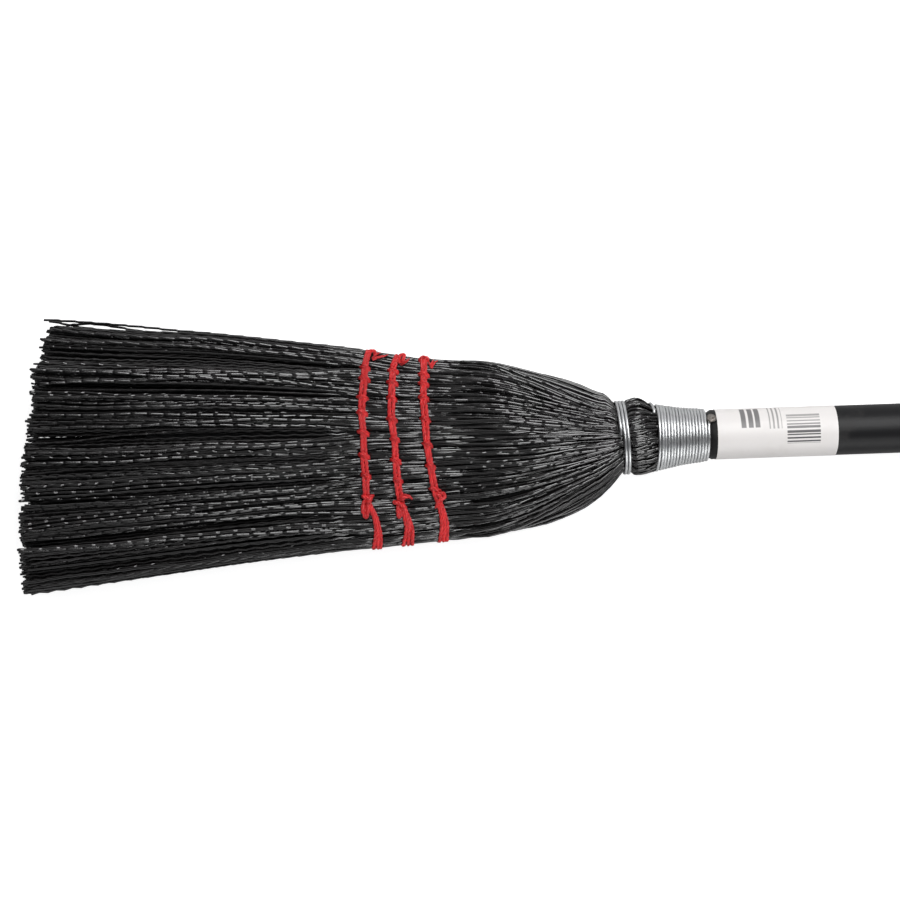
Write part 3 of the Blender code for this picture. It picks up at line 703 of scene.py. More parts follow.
@dataclass(frozen=True)
class HeadForm:
    """Outer form of the head, from the winding to the tips. Curves are pairs of X and value, in mm."""

    waist_left_x: float = -4.9 * MM
    waist_edges: tuple[float, ...] = (-5.7 * MM, -4.4 * MM, 0.4 * MM, 1.6 * MM)
    waist_radius: float = 15.35 * MM
    upper_neck: Curve = (
        (-5.5, -2, 1, 3.5, 6.4, 7.9, 9, 12.6, 15, 35, 40),
        (16.1, 16.4, 16.75, 17.55, 17.9, 16.7, 15.3, 13.9, 13.1, 10.3, 10.1),
    )
    lower_neck: Curve = (
        (-5.5, -2, 1, 3.5, 6, 9, 12.6, 15, 35, 40),
        (17.0, 16.9, 16.9, 17.1, 17.0, 16.4, 15.0, 13.5, 10.3, 10.1),
    )
    face_press: Curve = ((-2, 1, 3.5, 6.4, 7.9, 9, 12.6), (0.0, 0.0, 0.6, 1.1, 0.65, 0.15, 0.0))
    root_x: float = -78.0 * MM
    blend_end_x: float = -70.0 * MM
    upper_root_width: float = 36.9 * MM
    lower_root_width: float = 43.3 * MM
    upper_fullness: float = 1.75
    lower_fullness: float = 2.9
    upper_trim: Curve = (
        (-272, -259, -237, -215, -192, -170, -147, -125, -102, -80, -57, -35, -20, -12, -8, -5),
        (-1.1, -1.0, -0.6, 0.4, 1.7, 2.0, 1.6, 1.1, -0.4, -0.2, 0.5, 0.8, 1.3, 1.6, 2.2, 0.4),
    )
    lower_trim: Curve = (
        (-272, -261, -239, -216, -194, -171, -149, -126, -104, -81, -59, -36, -20, -13.5, -9, -5),
        (-0.9, -0.9, -1.1, -1.4, -1.75, -2.05, -2.0, -1.85, -1.3, -1.0, -1.7, -0.8, 0.6, 1.0, 0.6, 0.0),
    )
    root_half_thickness: float = 13.5 * MM
    belly_rise: float = 3.0 * MM
    tip_x: float = -272.0 * MM
    tip_width: float = 61.6 * MM
    tip_half_thickness: float = 20.0 * MM
    tip_round: float = 0.24
    tips: Curve = (
        (-62, -53, -42, -32, -21, -10, 0, 11, 22, 33, 43, 54, 62),
        (-272.4, -274.0, -274.9, -274.1, -273.3, -272.2, -272.2, -269.8, -267.3, -265.9, -263.5,
         -260.6, -257.4),
    )
    tip_waves: tuple[tuple[float, float, float], ...] = (
        (0.5 * MM, 3.1 * MM, 1.0), (0.45 * MM, 7.9 * MM, 0.0),
    )
    edge_thinning: float = 0.35
    band_shift: float = -0.6 * MM
    band_tilt: float = 0.075
    tilted_stretch: tuple[float, ...] = (-30.0 * MM, -6.0 * MM, 4.0 * MM, 10.0 * MM)
    shoulder_stretch: tuple[float, ...] = (-84.0 * MM, -66.0 * MM, -24.0 * MM, -5.0 * MM)
    free_start_x: float = -112.0 * MM
    free_length: float = 160.0 * MM

    def band_offset(self, y: Array) -> Array:
        """How far the band's tilt moves it along X at y."""
        return self.band_shift - self.band_tilt * y

    def neck_radius(self, x: Array, lean: Array | float = 0.0) -> Array:
        """Radius of the neck.

        Args:
            x: Places along the broom.
            lean: Where round the neck, from -1 on the lower side to 1 on the upper one.

        Returns:
            The radius of the filaments there.
        """
        upper, lower = (through(*curve, x / MM) * MM for curve in (self.upper_neck, self.lower_neck))
        full = (upper + lower) / 2 + (upper - lower) / 2 * lean
        full = full - through(*self.face_press, x / MM) * MM * (1.0 - np.square(lean))
        return full + (self.waist_radius - full) * within(x, *self.waist_edges)

    def half_width(self, x: Array, side: Array) -> Array:
        """Half width at x.

        Args:
            x: Places along the broom.
            side: Above 0 for the upper side, below 0 for the lower one.

        Returns:
            The half width.
        """
        upper = side > 0
        start = np.where(upper, self.upper_neck[1][0], self.lower_neck[1][0]) * MM
        root = np.where(upper, self.upper_root_width, self.lower_root_width)
        fullness = np.where(upper, self.upper_fullness, self.lower_fullness)
        share = np.clip((self.waist_left_x - x) / (self.waist_left_x - self.root_x), 0.0, 1.0)
        shoulder = start + (root - start) * (1.0 - (1.0 - share) ** fullness)
        fan = root + (self.tip_width - root) * (self.root_x - x) / (self.root_x - self.tip_x)
        trim = np.where(upper, through(*self.upper_trim, x / MM), through(*self.lower_trim, x / MM)) * MM
        block = np.where(x >= self.root_x, shoulder, fan) + trim
        return np.where(x >= self.waist_left_x, self.neck_radius(x, side), block)

    def half_thickness(self, x: Array, lean: Array | float = 0.0) -> Array:
        """Half thickness at x.

        Args:
            x: Places along the broom.
            lean: Where round the neck, as in neck_radius.

        Returns:
            The half thickness.
        """
        start = (self.upper_neck[1][0] + self.lower_neck[1][0]) / 2 * MM
        share = np.clip((self.waist_left_x - x) / (self.waist_left_x - self.root_x), 0.0, 1.0)
        shoulder = start + (self.root_half_thickness - start) * share
        shoulder = shoulder + self.belly_rise * np.sin(math.pi * share)
        reach = (self.root_x - x) / (self.root_x - self.tip_x)
        fan = self.root_half_thickness + (self.tip_half_thickness - self.root_half_thickness) * reach
        block = np.where(x >= self.root_x, shoulder, fan)
        return np.where(x >= self.waist_left_x, self.neck_radius(x, lean), block)

    def flatness(self, x: Array) -> Array:
        """Share by which the section at x has gone from a ring to a flat block."""
        return smooth(x, self.waist_left_x, self.blend_end_x)

    def thinning(self, u: Array) -> Array:
        """Share of the thickness that is left at the place u across the head."""
        return 1.0 - self.edge_thinning * np.abs(u) ** 4

    def place(self, face: Face, x: Array, u: Array, depth: Array | float) -> tuple[Array, Array, Array]:
        """Points on or under a face.

        Args:
            face: The face.
            x: Places along the broom.
            u: Places across the face, from -1 to 1.
            depth: How far under the surface, less than 0 above it.

        Returns:
            The points, the outward direction and the direction across the face at each.
        """
        x, u = np.broadcast_arrays(np.asarray(x, float), np.clip(np.asarray(u, float), -1.0, 1.0))
        angle = math.pi / 4 * u
        corner = np.sign(u) * np.abs(u) ** 8
        near, far = face.sign * np.cos(angle), np.sin(angle)
        edge = float(self.thinning(np.array(1.0)))
        if face.is_broad:
            round_y, round_z = far, near
            flat_y, flat_z = u, face.sign * self.thinning(u)
            out_y, out_z = corner, np.full_like(u, face.sign)
        else:
            round_y, round_z = near, far
            flat_y, flat_z = np.full_like(u, face.sign), u * edge
            out_y, out_z = np.full_like(u, face.sign), corner
        flat = self.flatness(x)
        y_share = round_y + (flat_y - round_y) * flat
        z_share = round_z + (flat_z - round_z) * flat
        level = x - self.band_offset(y_share * self.waist_radius) * within(x, *self.tilted_stretch)
        outward = unit(np.stack([
            np.zeros_like(x), round_y + (out_y - round_y) * flat, round_z + (out_z - round_z) * flat,
        ], axis=-1))
        y = y_share * self.half_width(level, y_share)
        z = z_share * self.half_thickness(level, y_share)
        points = np.stack([x, y, z], axis=-1) - outward * np.asarray(depth, float)[..., None]
        across = np.stack([np.zeros_like(x), -outward[..., 2], outward[..., 1]], axis=-1)
        return points, outward, across

    def face_length(self, face: Face, x: Array) -> Array:
        """Length of a face's outline.

        Args:
            face: The face.
            x: Places along the broom.

        Returns:
            The length across the face at each place.
        """
        ring = math.pi / 2 * self.neck_radius(np.maximum(x, self.waist_left_x))
        if face.is_broad:
            block = self.half_width(x, np.ones_like(x)) + self.half_width(x, -np.ones_like(x))
        else:
            block = 2 * self.half_thickness(x) * self.thinning(np.ones_like(x))
        return ring + (block - ring) * self.flatness(x)

    def tip_line(self, y: Array, z: Array) -> Array:
        """Where the filaments are trimmed at (y, z): a little shorter towards the front and the back."""
        uneven = sum(height * np.sin(y / length + phase) for height, length, phase in self.tip_waves)
        return through(*self.tips, y / MM) * MM + self.tip_round * np.abs(z) + uneven

    def freedom(self, x: Array) -> Array:
        """How free the filaments are at x, from 0 at the stitches to 1 at the tips."""
        return np.clip((self.free_start_x - x) / self.free_length, 0.0, 1.15)

    def shoulder(self, x: Array) -> Array:
        """Share by which x lies in the shoulder, between the throat and the stitches."""
        return within(x, *self.shoulder_stretch)


@dataclass(frozen=True)
class RowPath:
    """Line of one row of stitches across the front, from the lower edge to the upper one.

    Attributes:
        number: 1 for the row nearest the tips.
        ys: Places across the head, in mm.
        xs: Places of the row along the broom at each of them, in mm.
        lock_ys: Where the lock stitches cross it, in mm.
        edge_x: Where it turns round the head's edges.
        spread: Distance between its two rounds, against Y, in mm.
        bow_mm: Half of the width over which the hidden side bows.
    """

    number: int
    ys: tuple[float, ...]
    xs: tuple[float, ...]
    lock_ys: tuple[float, ...]
    edge_x: float
    spread: Curve
    bow_mm: float = 42.0

    def x_at(self, y: Array, front: bool = True) -> Array:
        """Middle of the row.

        Args:
            y: Places across the head.
            front: Whether on the front or on the back.

        Returns:
            Its place along the broom at each y.
        """
        y = np.asarray(y, float) / MM
        seen = through(self.ys, self.xs, y) * MM
        bow = (y / self.bow_mm) ** 2
        hidden = self.edge_x + (min(self.xs) * MM - self.edge_x) * np.clip(1.0 - bow, 0.0, 1.0)
        return np.where(front, seen, hidden)


ROWS = (
    RowPath(
        1,
        (-46.3, -38.9, -31.3, -24.5, -13.1, -5.1, 5.5, 14.7, 21.3, 28.8, 36.9, 43.3),
        (-114.0, -113.1, -114.1, -116.9, -117.5, -118.0, -117.9, -118.2, -117.8, -116.9, -115.9, -113.8),
        (-22.3, -13.1, -4.2, 5.9, 14.7, 21.3, 29.7, 34.6),
        -114.0 * MM,
        ((-46, -40, -34, -28, -21), (2.9, 2.2, 1.3, 1.4, 1.48)),
    ),
    RowPath(
        2,
        (-44.8, -36.3, -29.5, -23.7, -15.7, -6.9, 2.6, 11.4, 20.2, 27.5, 35.5, 40.6),
        (-100.3, -99.3, -100.9, -102.5, -103.5, -104.1, -104.3, -105.2, -105.0, -104.5, -103.4, -100.9),
        (-25.1, -15.7, -6.9, 2.4, 11.4, 20.5, 27.5, 32.9),
        -100.6 * MM,
        ((-45, -41, -38, -33, -27, -21), (4.0, 3.3, 3.0, 2.2, 1.4, 1.48)),
    ),
    RowPath(
        3,
        (-43.8, -36.2, -29.7, -24.3, -19.2, -9.6, 0.1, 10.2, 20.4, 30.6, 37.8),
        (-84.5, -83.6, -84.4, -86.1, -87.4, -88.9, -90.0, -90.4, -91.0, -90.4, -90.1),
        (-19.8, -10.1, -0.3, 10.9, 20.4, 26.6, 30.6),
        -87.2 * MM,
        ((-43, -39, -36, -31, -26, -20), (3.4, 2.9, 2.7, 1.8, 1.3, 1.48)),
    ),
)


@dataclass(frozen=True)
class StitchPull:
    """How the stitches draw the filaments in."""

    press: float = 0.35 * MM
    press_reach: float = 2.6 * MM
    valley: float = 1.7 * MM
    valley_width: float = 1.5 * MM
    valley_reach: float = 9.0 * MM
    open_reach: float = 26.0 * MM

    def depth(self, x: Array, y: Array) -> Array:
        """How far the stitches sink the surface.

        Args:
            x: Places along the broom.
            y: Places across it.

        Returns:
            The depth at each place.
        """
        sunk = np.zeros(np.broadcast(x, y).shape)
        for row in ROWS:
            away = x - row.x_at(y)
            sunk = sunk + self.press * np.exp(-((away / self.press_reach) ** 2))
            reach = np.where((away < 0.0) & (row.number == 1), self.open_reach, self.valley_reach)
            near = np.exp(-((away / reach) ** 2))
            for lock_y in row.lock_ys:
                sunk = sunk + self.valley * near * np.exp(-(((y - lock_y * MM) / self.valley_width) ** 2))
        return sunk


@dataclass(frozen=True)
class Crimp:
    """Crimp of the filaments: long straight runs that rise gently, with short steep drops between.

    Attributes:
        length: Length of one wave.
        height: Half of its height.
        turns: Corners of one wave, as shares of its length.
        run: Share of the wave that its long run takes.
        drop: Share of the wave that its steep drop takes.
        first_gap: No corner lies closer than this to the filament's end.
        proud_odds: Odds that the crimp of a proud filament falls, and that it falls or rises.
        low_odds: The same for a filament that lies lower.
        fall: Angle of a falling crimp, the angle's scatter, and the least and most of its height.
        climb: The same for a rising one.
        aside: Scatter of the angle of a crimp that lies flat, and the least and most of its height.
    """

    length: float = 7.5 * MM
    height: float = 0.40 * MM
    turns: tuple[float, ...] = (0.0, 0.06, 0.30, 0.54, 0.74, 0.80, 0.86, 0.94)
    run: float = 0.8
    drop: float = 0.2
    first_gap: float = 0.2 * MM
    proud_odds: Span = (0.82, 0.92)
    low_odds: Span = (0.26, 0.38)
    fall: tuple[float, ...] = (-math.pi / 2, 0.25, 0.75, 1.2)
    climb: tuple[float, ...] = (math.pi / 2, 0.3, 0.6, 1.0)
    aside: tuple[float, ...] = (0.2, 0.2, 0.45)

    def places(self, start: float, end: float, phase: float, length: float,
               sparse: int) -> tuple[Array, Array]:
        """Places along one filament that catch the crimp's corners.

        Args:
            start: Lowest x.
            end: Highest x.
            phase: Share of a wave by which this filament is shifted.
            length: Length of its waves.
            sparse: 1 keeps every place, 2 every second one.

        Returns:
            The places in rising order, and the crimp's height at each, from -1 to 1.
        """
        count = int((end - start) / length) + 2
        waves = (np.arange(count)[:, None] + np.array(self.turns)[None, ::sparse]).ravel()
        xs = start + (waves - phase) * length
        xs = xs[(xs > start + self.first_gap) & (xs < end)]
        xs = np.concatenate([[start], xs, [end]])
        share = ((xs - start) / length + phase) % 1.0
        rise = np.where(share < self.run, share / self.run, (1.0 - share) / self.drop) * 2.0 - 1.0
        return xs, rise

    def lie(self, is_proud: bool, dice: np.random.Generator) -> tuple[float, float]:
        """How one filament's crimp lies.

        Args:
            is_proud: Whether the filament stands proud of its neighbours.
            dice: Source of chance.

        Returns:
            The angle of the crimp's plane from the surface, and the height of its waves.
        """
        falling, rising = self.proud_odds if is_proud else self.low_odds
        draw = dice.uniform()
        if draw < rising:
            angle, scatter, least, most = self.fall if draw < falling else self.climb
        else:
            angle = dice.choice([0.0, math.pi])
            scatter, least, most = self.aside
        return angle + dice.normal(0.0, scatter), self.height * dice.uniform(least, most)


@dataclass
class FilamentSheet:
    """One layer of crimped filaments on one face of the head.

    Attributes:
        form: The head's outer form.
        face: The face that the layer covers.
        layer: 0 for the outermost.
        count: How many filaments it has.
        sides: Corners of a filament's section.
        sparse: 1 keeps every corner of the crimp, 2 every second one.
        drifts: How each clump strays across the face.
        room_pitch_mm: Room that a filament takes across the face, and what the spread adds to it.
        room_stretch: Where along the broom that is added.
        press_start: Where along the broom the stitches begin to press the filaments flat.
        press_end: Where they press less again.
        press_loss: Share of the pressing that is lost there.
    """

    form: HeadForm
    face: Face
    layer: int
    count: int
    sides: int
    sparse: int
    drifts: Array
    radius: float = 0.67 * MM
    radius_scatter: Span = (0.9, 1.1)
    end_taper: float = 0.75
    layer_depth: float = 1.6 * MM
    butt_x: float = 24.0 * MM
    room_pitch_mm: Span = (1.24, 0.24)
    room_stretch: Span = (-60.0 * MM, -260.0 * MM)
    room_limit: float = 1.05
    burial: float = 0.16
    burial_run: float = 0.14
    burial_depth: float = 1.5 * MM
    edge_clumps: tuple[float, ...] = (-1.0, -0.3, 0.35, 1.0)
    lower_partings_mm: Span = (-32.0, -39.5)
    clump_pull: float = 0.32
    clump_drift: float = 1.8 * MM
    strand_pull: float = 0.14
    pull_scatter: Span = (0.7, 1.3)
    clump_crown: float = 2.6 * MM
    spread_start: Span = (-0.03, 0.3)
    relief: float = 1.55 * MM
    neck_relief: float = 0.2
    proud_odds: float = 0.42
    back_scatter: Span = (0.45, 1.0)
    place_scatter: float = 0.25
    stray: float = 1.3 * MM
    stray_power: float = 1.5
    roam_odds: float = 0.16
    roam_stray: float = 2.2
    roam_lift_mm: float = 0.7
    edge_calm: float = 0.35
    long_sweep: Span = (0.4 * MM, 88.0 * MM)
    short_sweep: Span = (0.2 * MM, 37.0 * MM)
    trim_scatter: float = 1.4 * MM
    length_scatter: Span = (0.94, 1.07)
    twist: float = 2.0 * MM
    twist_scatter_mm: float = 1.6
    twist_stretch: Span = (0.0, 13.0 * MM)
    level_scatter_mm: float = 0.15
    free_scatter_mm: float = 0.45
    shape_scatter_mm: float = 6.0
    shape_stretch: Span = (-8.0 * MM, -24.0 * MM)
    bulge_scatter_mm: Span = (-0.2, 0.3)
    bulge_drop_mm: float = 0.6
    bulge_stretch: Span = (-2.0 * MM, 2.0 * MM)
    swell_length_mm: Span = (24.0, 44.0)
    swell_height_mm: Span = (0.06, 0.28)
    swell_shares: tuple[float, float, float] = (0.3, 0.7, 1.1)
    pull_scatter_mm: Span = (2.5, 0.6)
    press_start: Span = (-150.0 * MM, -120.0 * MM)
    press_end: Span = (-86.0 * MM, -62.0 * MM)
    press_loss: float = 0.6
    pressed_crimp: float = 0.78
    shoulder_crimp: float = 0.5
    crimp: Crimp = field(default_factory=Crimp)
    pull: StitchPull = field(default_factory=StitchPull)

    @property
    def calm(self) -> float:
        """Share by which filaments may stray: less on the narrow faces."""
        return 1.0 if self.face.is_broad else self.edge_calm

    def pitch(self, x: Array) -> Array:
        """Room that one filament takes across the face at x."""
        tight, more = self.room_pitch_mm
        return (tight + more * smooth(x, *self.room_stretch)) * MM

    def pressed(self, x: Array) -> Array:
        """Share by which the stitches press the filaments flat at x."""
        return smooth(x, *self.press_start) * (1.0 - self.press_loss * smooth(x, *self.press_end))

    def clumps(self) -> Array:
        """Part the face into clumps, on a broad one where the lock stitches part it.

        Returns:
            Edges of the clumps across the face, from -1 to 1.
        """
        if not self.face.is_broad:
            return np.array(self.edge_clumps)
        row = ROWS[0]
        at = np.array([*row.lock_ys, *self.lower_partings_mm]) * MM
        width = self.form.half_width(np.full(len(at), row.edge_x), at)
        return np.concatenate([[-1.0], np.sort(at / width), [1.0]])

    def lane(self, xs: Array, u: float, roam: float, edges: Array,
             dice: np.random.Generator) -> tuple[Array, Array]:
        """Lay one filament across the face.

        Args:
            xs: Its places along the broom.
            u: Its place across the face at the stitches.
            roam: 1 for a filament that strays from its clump, otherwise 0.
            edges: Edges of the clumps.
            dice: Source of chance.

        Returns:
            Its places across the face, and how far its clump's crown sinks it at each.
        """
        form = self.form
        free = form.freedom(xs)
        spread = smooth(free, *self.spread_start)
        width = form.face_length(self.face, xs) / 2
        clump = int(np.clip(np.searchsorted(edges, u) - 1, 0, len(edges) - 2))
        low, high = edges[clump], edges[clump + 1]
        middle, half = (low + high) / 2, (high - low) / 2
        strand = middle + half * (0.5 if u > middle else -0.5)
        gather = (middle - u) * self.clump_pull + (strand - u) * self.strand_pull
        lean = dice.normal(0.0, 1.0) * self.stray * self.calm * (1.0 + self.roam_stray * roam)
        lean = lean * free ** self.stray_power
        phases = dice.uniform(0.0, 2 * math.pi, 2)
        (long, long_length), (short, short_length) = self.long_sweep, self.short_sweep
        wander = long * (0.3 + free) * np.sin(2 * math.pi * xs / long_length + phases[0])
        wander = wander + short * np.sin(2 * math.pi * xs / short_length + phases[1])
        turn = form.face_length(Face.FRONT, xs) / 2
        way = 1.0 if self.face in (Face.FRONT, Face.LOWER) else -1.0
        twist = self.twist + dice.normal(0.0, self.twist_scatter_mm) * MM
        slant = twist * smooth(xs, *self.twist_stretch) * way
        gather = gather * spread * dice.uniform(*self.pull_scatter)
        place = u + gather + (lean + wander) / width + slant / turn
        place = place + self.clump_drift * self.drifts[clump] * spread * (1.0 + 0.6 * free) / width
        return place, self.clump_crown * abs((u - middle) / half) ** 3 * spread

    def sink(self, xs: Array, back: float, roam: float, under: Array, crown: Array,
             dice: np.random.Generator) -> Array:
        """Lay one filament under the surface.

        Args:
            xs: Its places along the broom.
            back: How far it stands back between its neighbours, from 0 to 1.
            roam: 1 for a filament that strays from its clump, otherwise 0.
            under: How far it is from coming up between its neighbours at each place.
            crown: How far its clump's crown sinks it at each place.
            dice: Source of chance.

        Returns:
            Its depth at each place.
        """
        form, calm = self.form, self.calm
        free, shoulder = form.freedom(xs), form.shoulder(xs)
        hold = self.neck_relief + shoulder + smooth(free, *self.spread_start)
        depth = self.radius + self.layer * self.layer_depth + crown + back * self.relief * hold
        level = dice.uniform(-self.level_scatter_mm, self.level_scatter_mm) * MM
        loose = dice.normal(0.0, self.free_scatter_mm) + self.roam_lift_mm * roam
        depth = depth + level - loose * MM * free * calm
        thinner = form.half_thickness(xs + dice.normal(0.0, self.shape_scatter_mm) * MM)
        depth = depth + (form.half_thickness(xs) - thinner) * smooth(xs, *self.shape_stretch)
        drop = dice.uniform(*self.bulge_scatter_mm) + self.bulge_drop_mm * (back > 0.0)
        depth = depth + drop * MM * smooth(xs, *self.bulge_stretch)
        depth = depth + self.burial_depth * smooth(under, 0.0, self.burial_run)
        swell = np.sin(2 * math.pi * (xs / (dice.uniform(*self.swell_length_mm) * MM) + dice.uniform()))
        always, at_stitches, at_shoulder = self.swell_shares
        share = always + at_stitches * self.pressed(xs) + at_shoulder * shoulder
        return depth + dice.uniform(*self.swell_height_mm) * MM * swell * share * calm

    def path(self, u: float, rank: float, back: float, edges: Array,
             dice: np.random.Generator) -> tuple[Array, Array]:
        """Centre line of one filament.

        Args:
            u: Its place across the face.
            rank: Its turn, from 0 to 1, to come up from under its neighbours as the head widens.
            back: How far it stands back between its neighbours, from 0 to 1.
            edges: Edges of the clumps.
            dice: Source of chance.

        Returns:
            The points and the outward direction at each.
        """
        form = self.form
        tip = form.place(self.face, np.array(form.tip_x), np.array(u), self.layer * self.layer_depth)[0]
        end = float(form.tip_line(tip[1], tip[2])) + dice.uniform(-1.0, 1.0) * self.trim_scatter
        length = self.crimp.length * dice.uniform(*self.length_scatter)
        xs, rise = self.crimp.places(end, self.butt_x, dice.uniform(), length, self.sparse)
        room = form.face_length(self.face, xs) / (self.count * self.pitch(xs))
        under = rank - np.minimum(room, self.room_limit)
        buried = np.nonzero(under[::-1] <= self.burial)[0]
        keep = len(xs) if not len(buried) else len(xs) - buried[0]
        xs, rise, under = xs[:keep], rise[:keep], under[:keep]
        roam = 1.0 if back == 0.0 and dice.uniform() < self.roam_odds else 0.0
        place_u, crown = self.lane(xs, u, roam, edges, dice)
        depth = self.sink(xs, back, roam, under, crown, dice)
        points, outward, across = form.place(self.face, xs, place_u, depth)
        if self.face.is_broad:
            along, aside = (dice.normal(0.0, scatter) * MM for scatter in self.pull_scatter_mm)
            points = points - outward * self.pull.depth(xs + along, points[:, 1] + aside)[:, None]
        held = 1.0 - self.pressed_crimp * self.pressed(xs)
        held = held * (1.0 - dice.uniform(0.0, self.shoulder_crimp) * form.shoulder(xs))
        plane, height = self.crimp.lie(back == 0.0, dice)
        swing = height * self.calm * held * rise
        points = points + (across * math.cos(plane) + outward * math.sin(plane)) * swing[:, None]
        return points, outward

    def grow(self, drafts: Sequence[Draft], dice: np.random.Generator) -> None:
        """Add every filament of the sheet.

        Args:
            drafts: The meshes that take them, each an even share.
            dice: Source of chance.
        """
        edges = self.clumps()
        start = dice.uniform()
        for number in range(self.count):
            shift = dice.uniform(-self.place_scatter, self.place_scatter)
            u = -1.0 + 2.0 * (number + 0.5 + shift) / self.count
            rank = (start + number * GOLDEN_STEP) % 1.0
            is_proud = (start + number * PLASTIC_STEP) % 1.0 < self.proud_odds
            back = 0.0 if is_proud else dice.uniform(*self.back_scatter)
            points, outward = self.path(u, rank, back, edges, dice)
            if len(points) < 4:
                continue
            radius = np.full(len(points), self.radius * dice.uniform(*self.radius_scatter))
            radius[0] *= self.end_taper
            draft = drafts[number * len(drafts) // self.count]
            draft.tube(points, radius, self.sides, outward, tone=dice.uniform())


@dataclass
class StrayFilaments:
    """A few filaments that stand off the upper edge between the stitches and the tips.

    Attributes:
        radius: Radius of a filament.
        sway: Height of its crimp, and the shares of it that move it along Y and Z.
        crimp: The crimp.
        runs: (x, y, z) points of each filament, in mm.
    """

    radius: float = 0.52 * MM
    sway: tuple[float, float, float] = (0.14 * MM, 0.9, 0.45)
    crimp: Crimp = field(default_factory=Crimp)
    runs: tuple[tuple[tuple[float, float, float], ...], ...] = (
        (
            (-259.9, 61.7, 1.0), (-246.0, 60.4, 1.0), (-234.8, 59.2, 0.9), (-223.7, 57.9, 0.8),
            (-212.5, 56.5, 0.7), (-201.3, 54.9, 0.6), (-190.2, 53.6, 0.5), (-167.9, 50.6, 0.5),
            (-145.6, 47.4, 0.6), (-123.2, 44.1, 0.7), (-100.9, 39.7, 0.6), (-80.0, 35.9, 0.4),
        ),
        (
            (-258.1, 61.1, -1.2), (-251.8, 59.8, -1.0), (-246.1, 58.4, -0.8), (-234.9, 56.5, -0.8),
            (-212.6, 53.7, -0.8), (-190.3, 50.7, -0.8), (-145.6, 44.7, -0.8), (-100.0, 37.4, -0.8),
        ),
        (
            (-250.1, 58.8, 0.2), (-243.8, 59.2, 0.4), (-238.4, 59.1, 0.4), (-230.4, 57.9, 0.0),
            (-217.0, 55.2, -0.6), (-190.3, 51.1, -1.2), (-150.0, 44.6, -1.6), (-110.0, 38.8, -1.6),
        ),
    )

    def grow(self, draft: Draft, dice: np.random.Generator) -> None:
        """Add them.

        Args:
            draft: The mesh that takes them.
            dice: Source of chance.
        """
        height, sideways, upwards = self.sway
        for run in self.runs:
            knots = np.array(run)
            first_x, last_x = knots[0, 0] * MM, knots[-1, 0] * MM
            xs, rise = self.crimp.places(first_x, last_x, dice.uniform(), self.crimp.length, 1)
            y, z = (through(knots[:, 0], knots[:, axis], xs / MM) * MM for axis in (1, 2))
            swing = height * rise
            path = np.stack([xs, y + swing * sideways, z + swing * upwards], axis=1)
            draft.tube(path, self.radius, 6, (0.0, 0.0, 1.0), tone=dice.uniform())


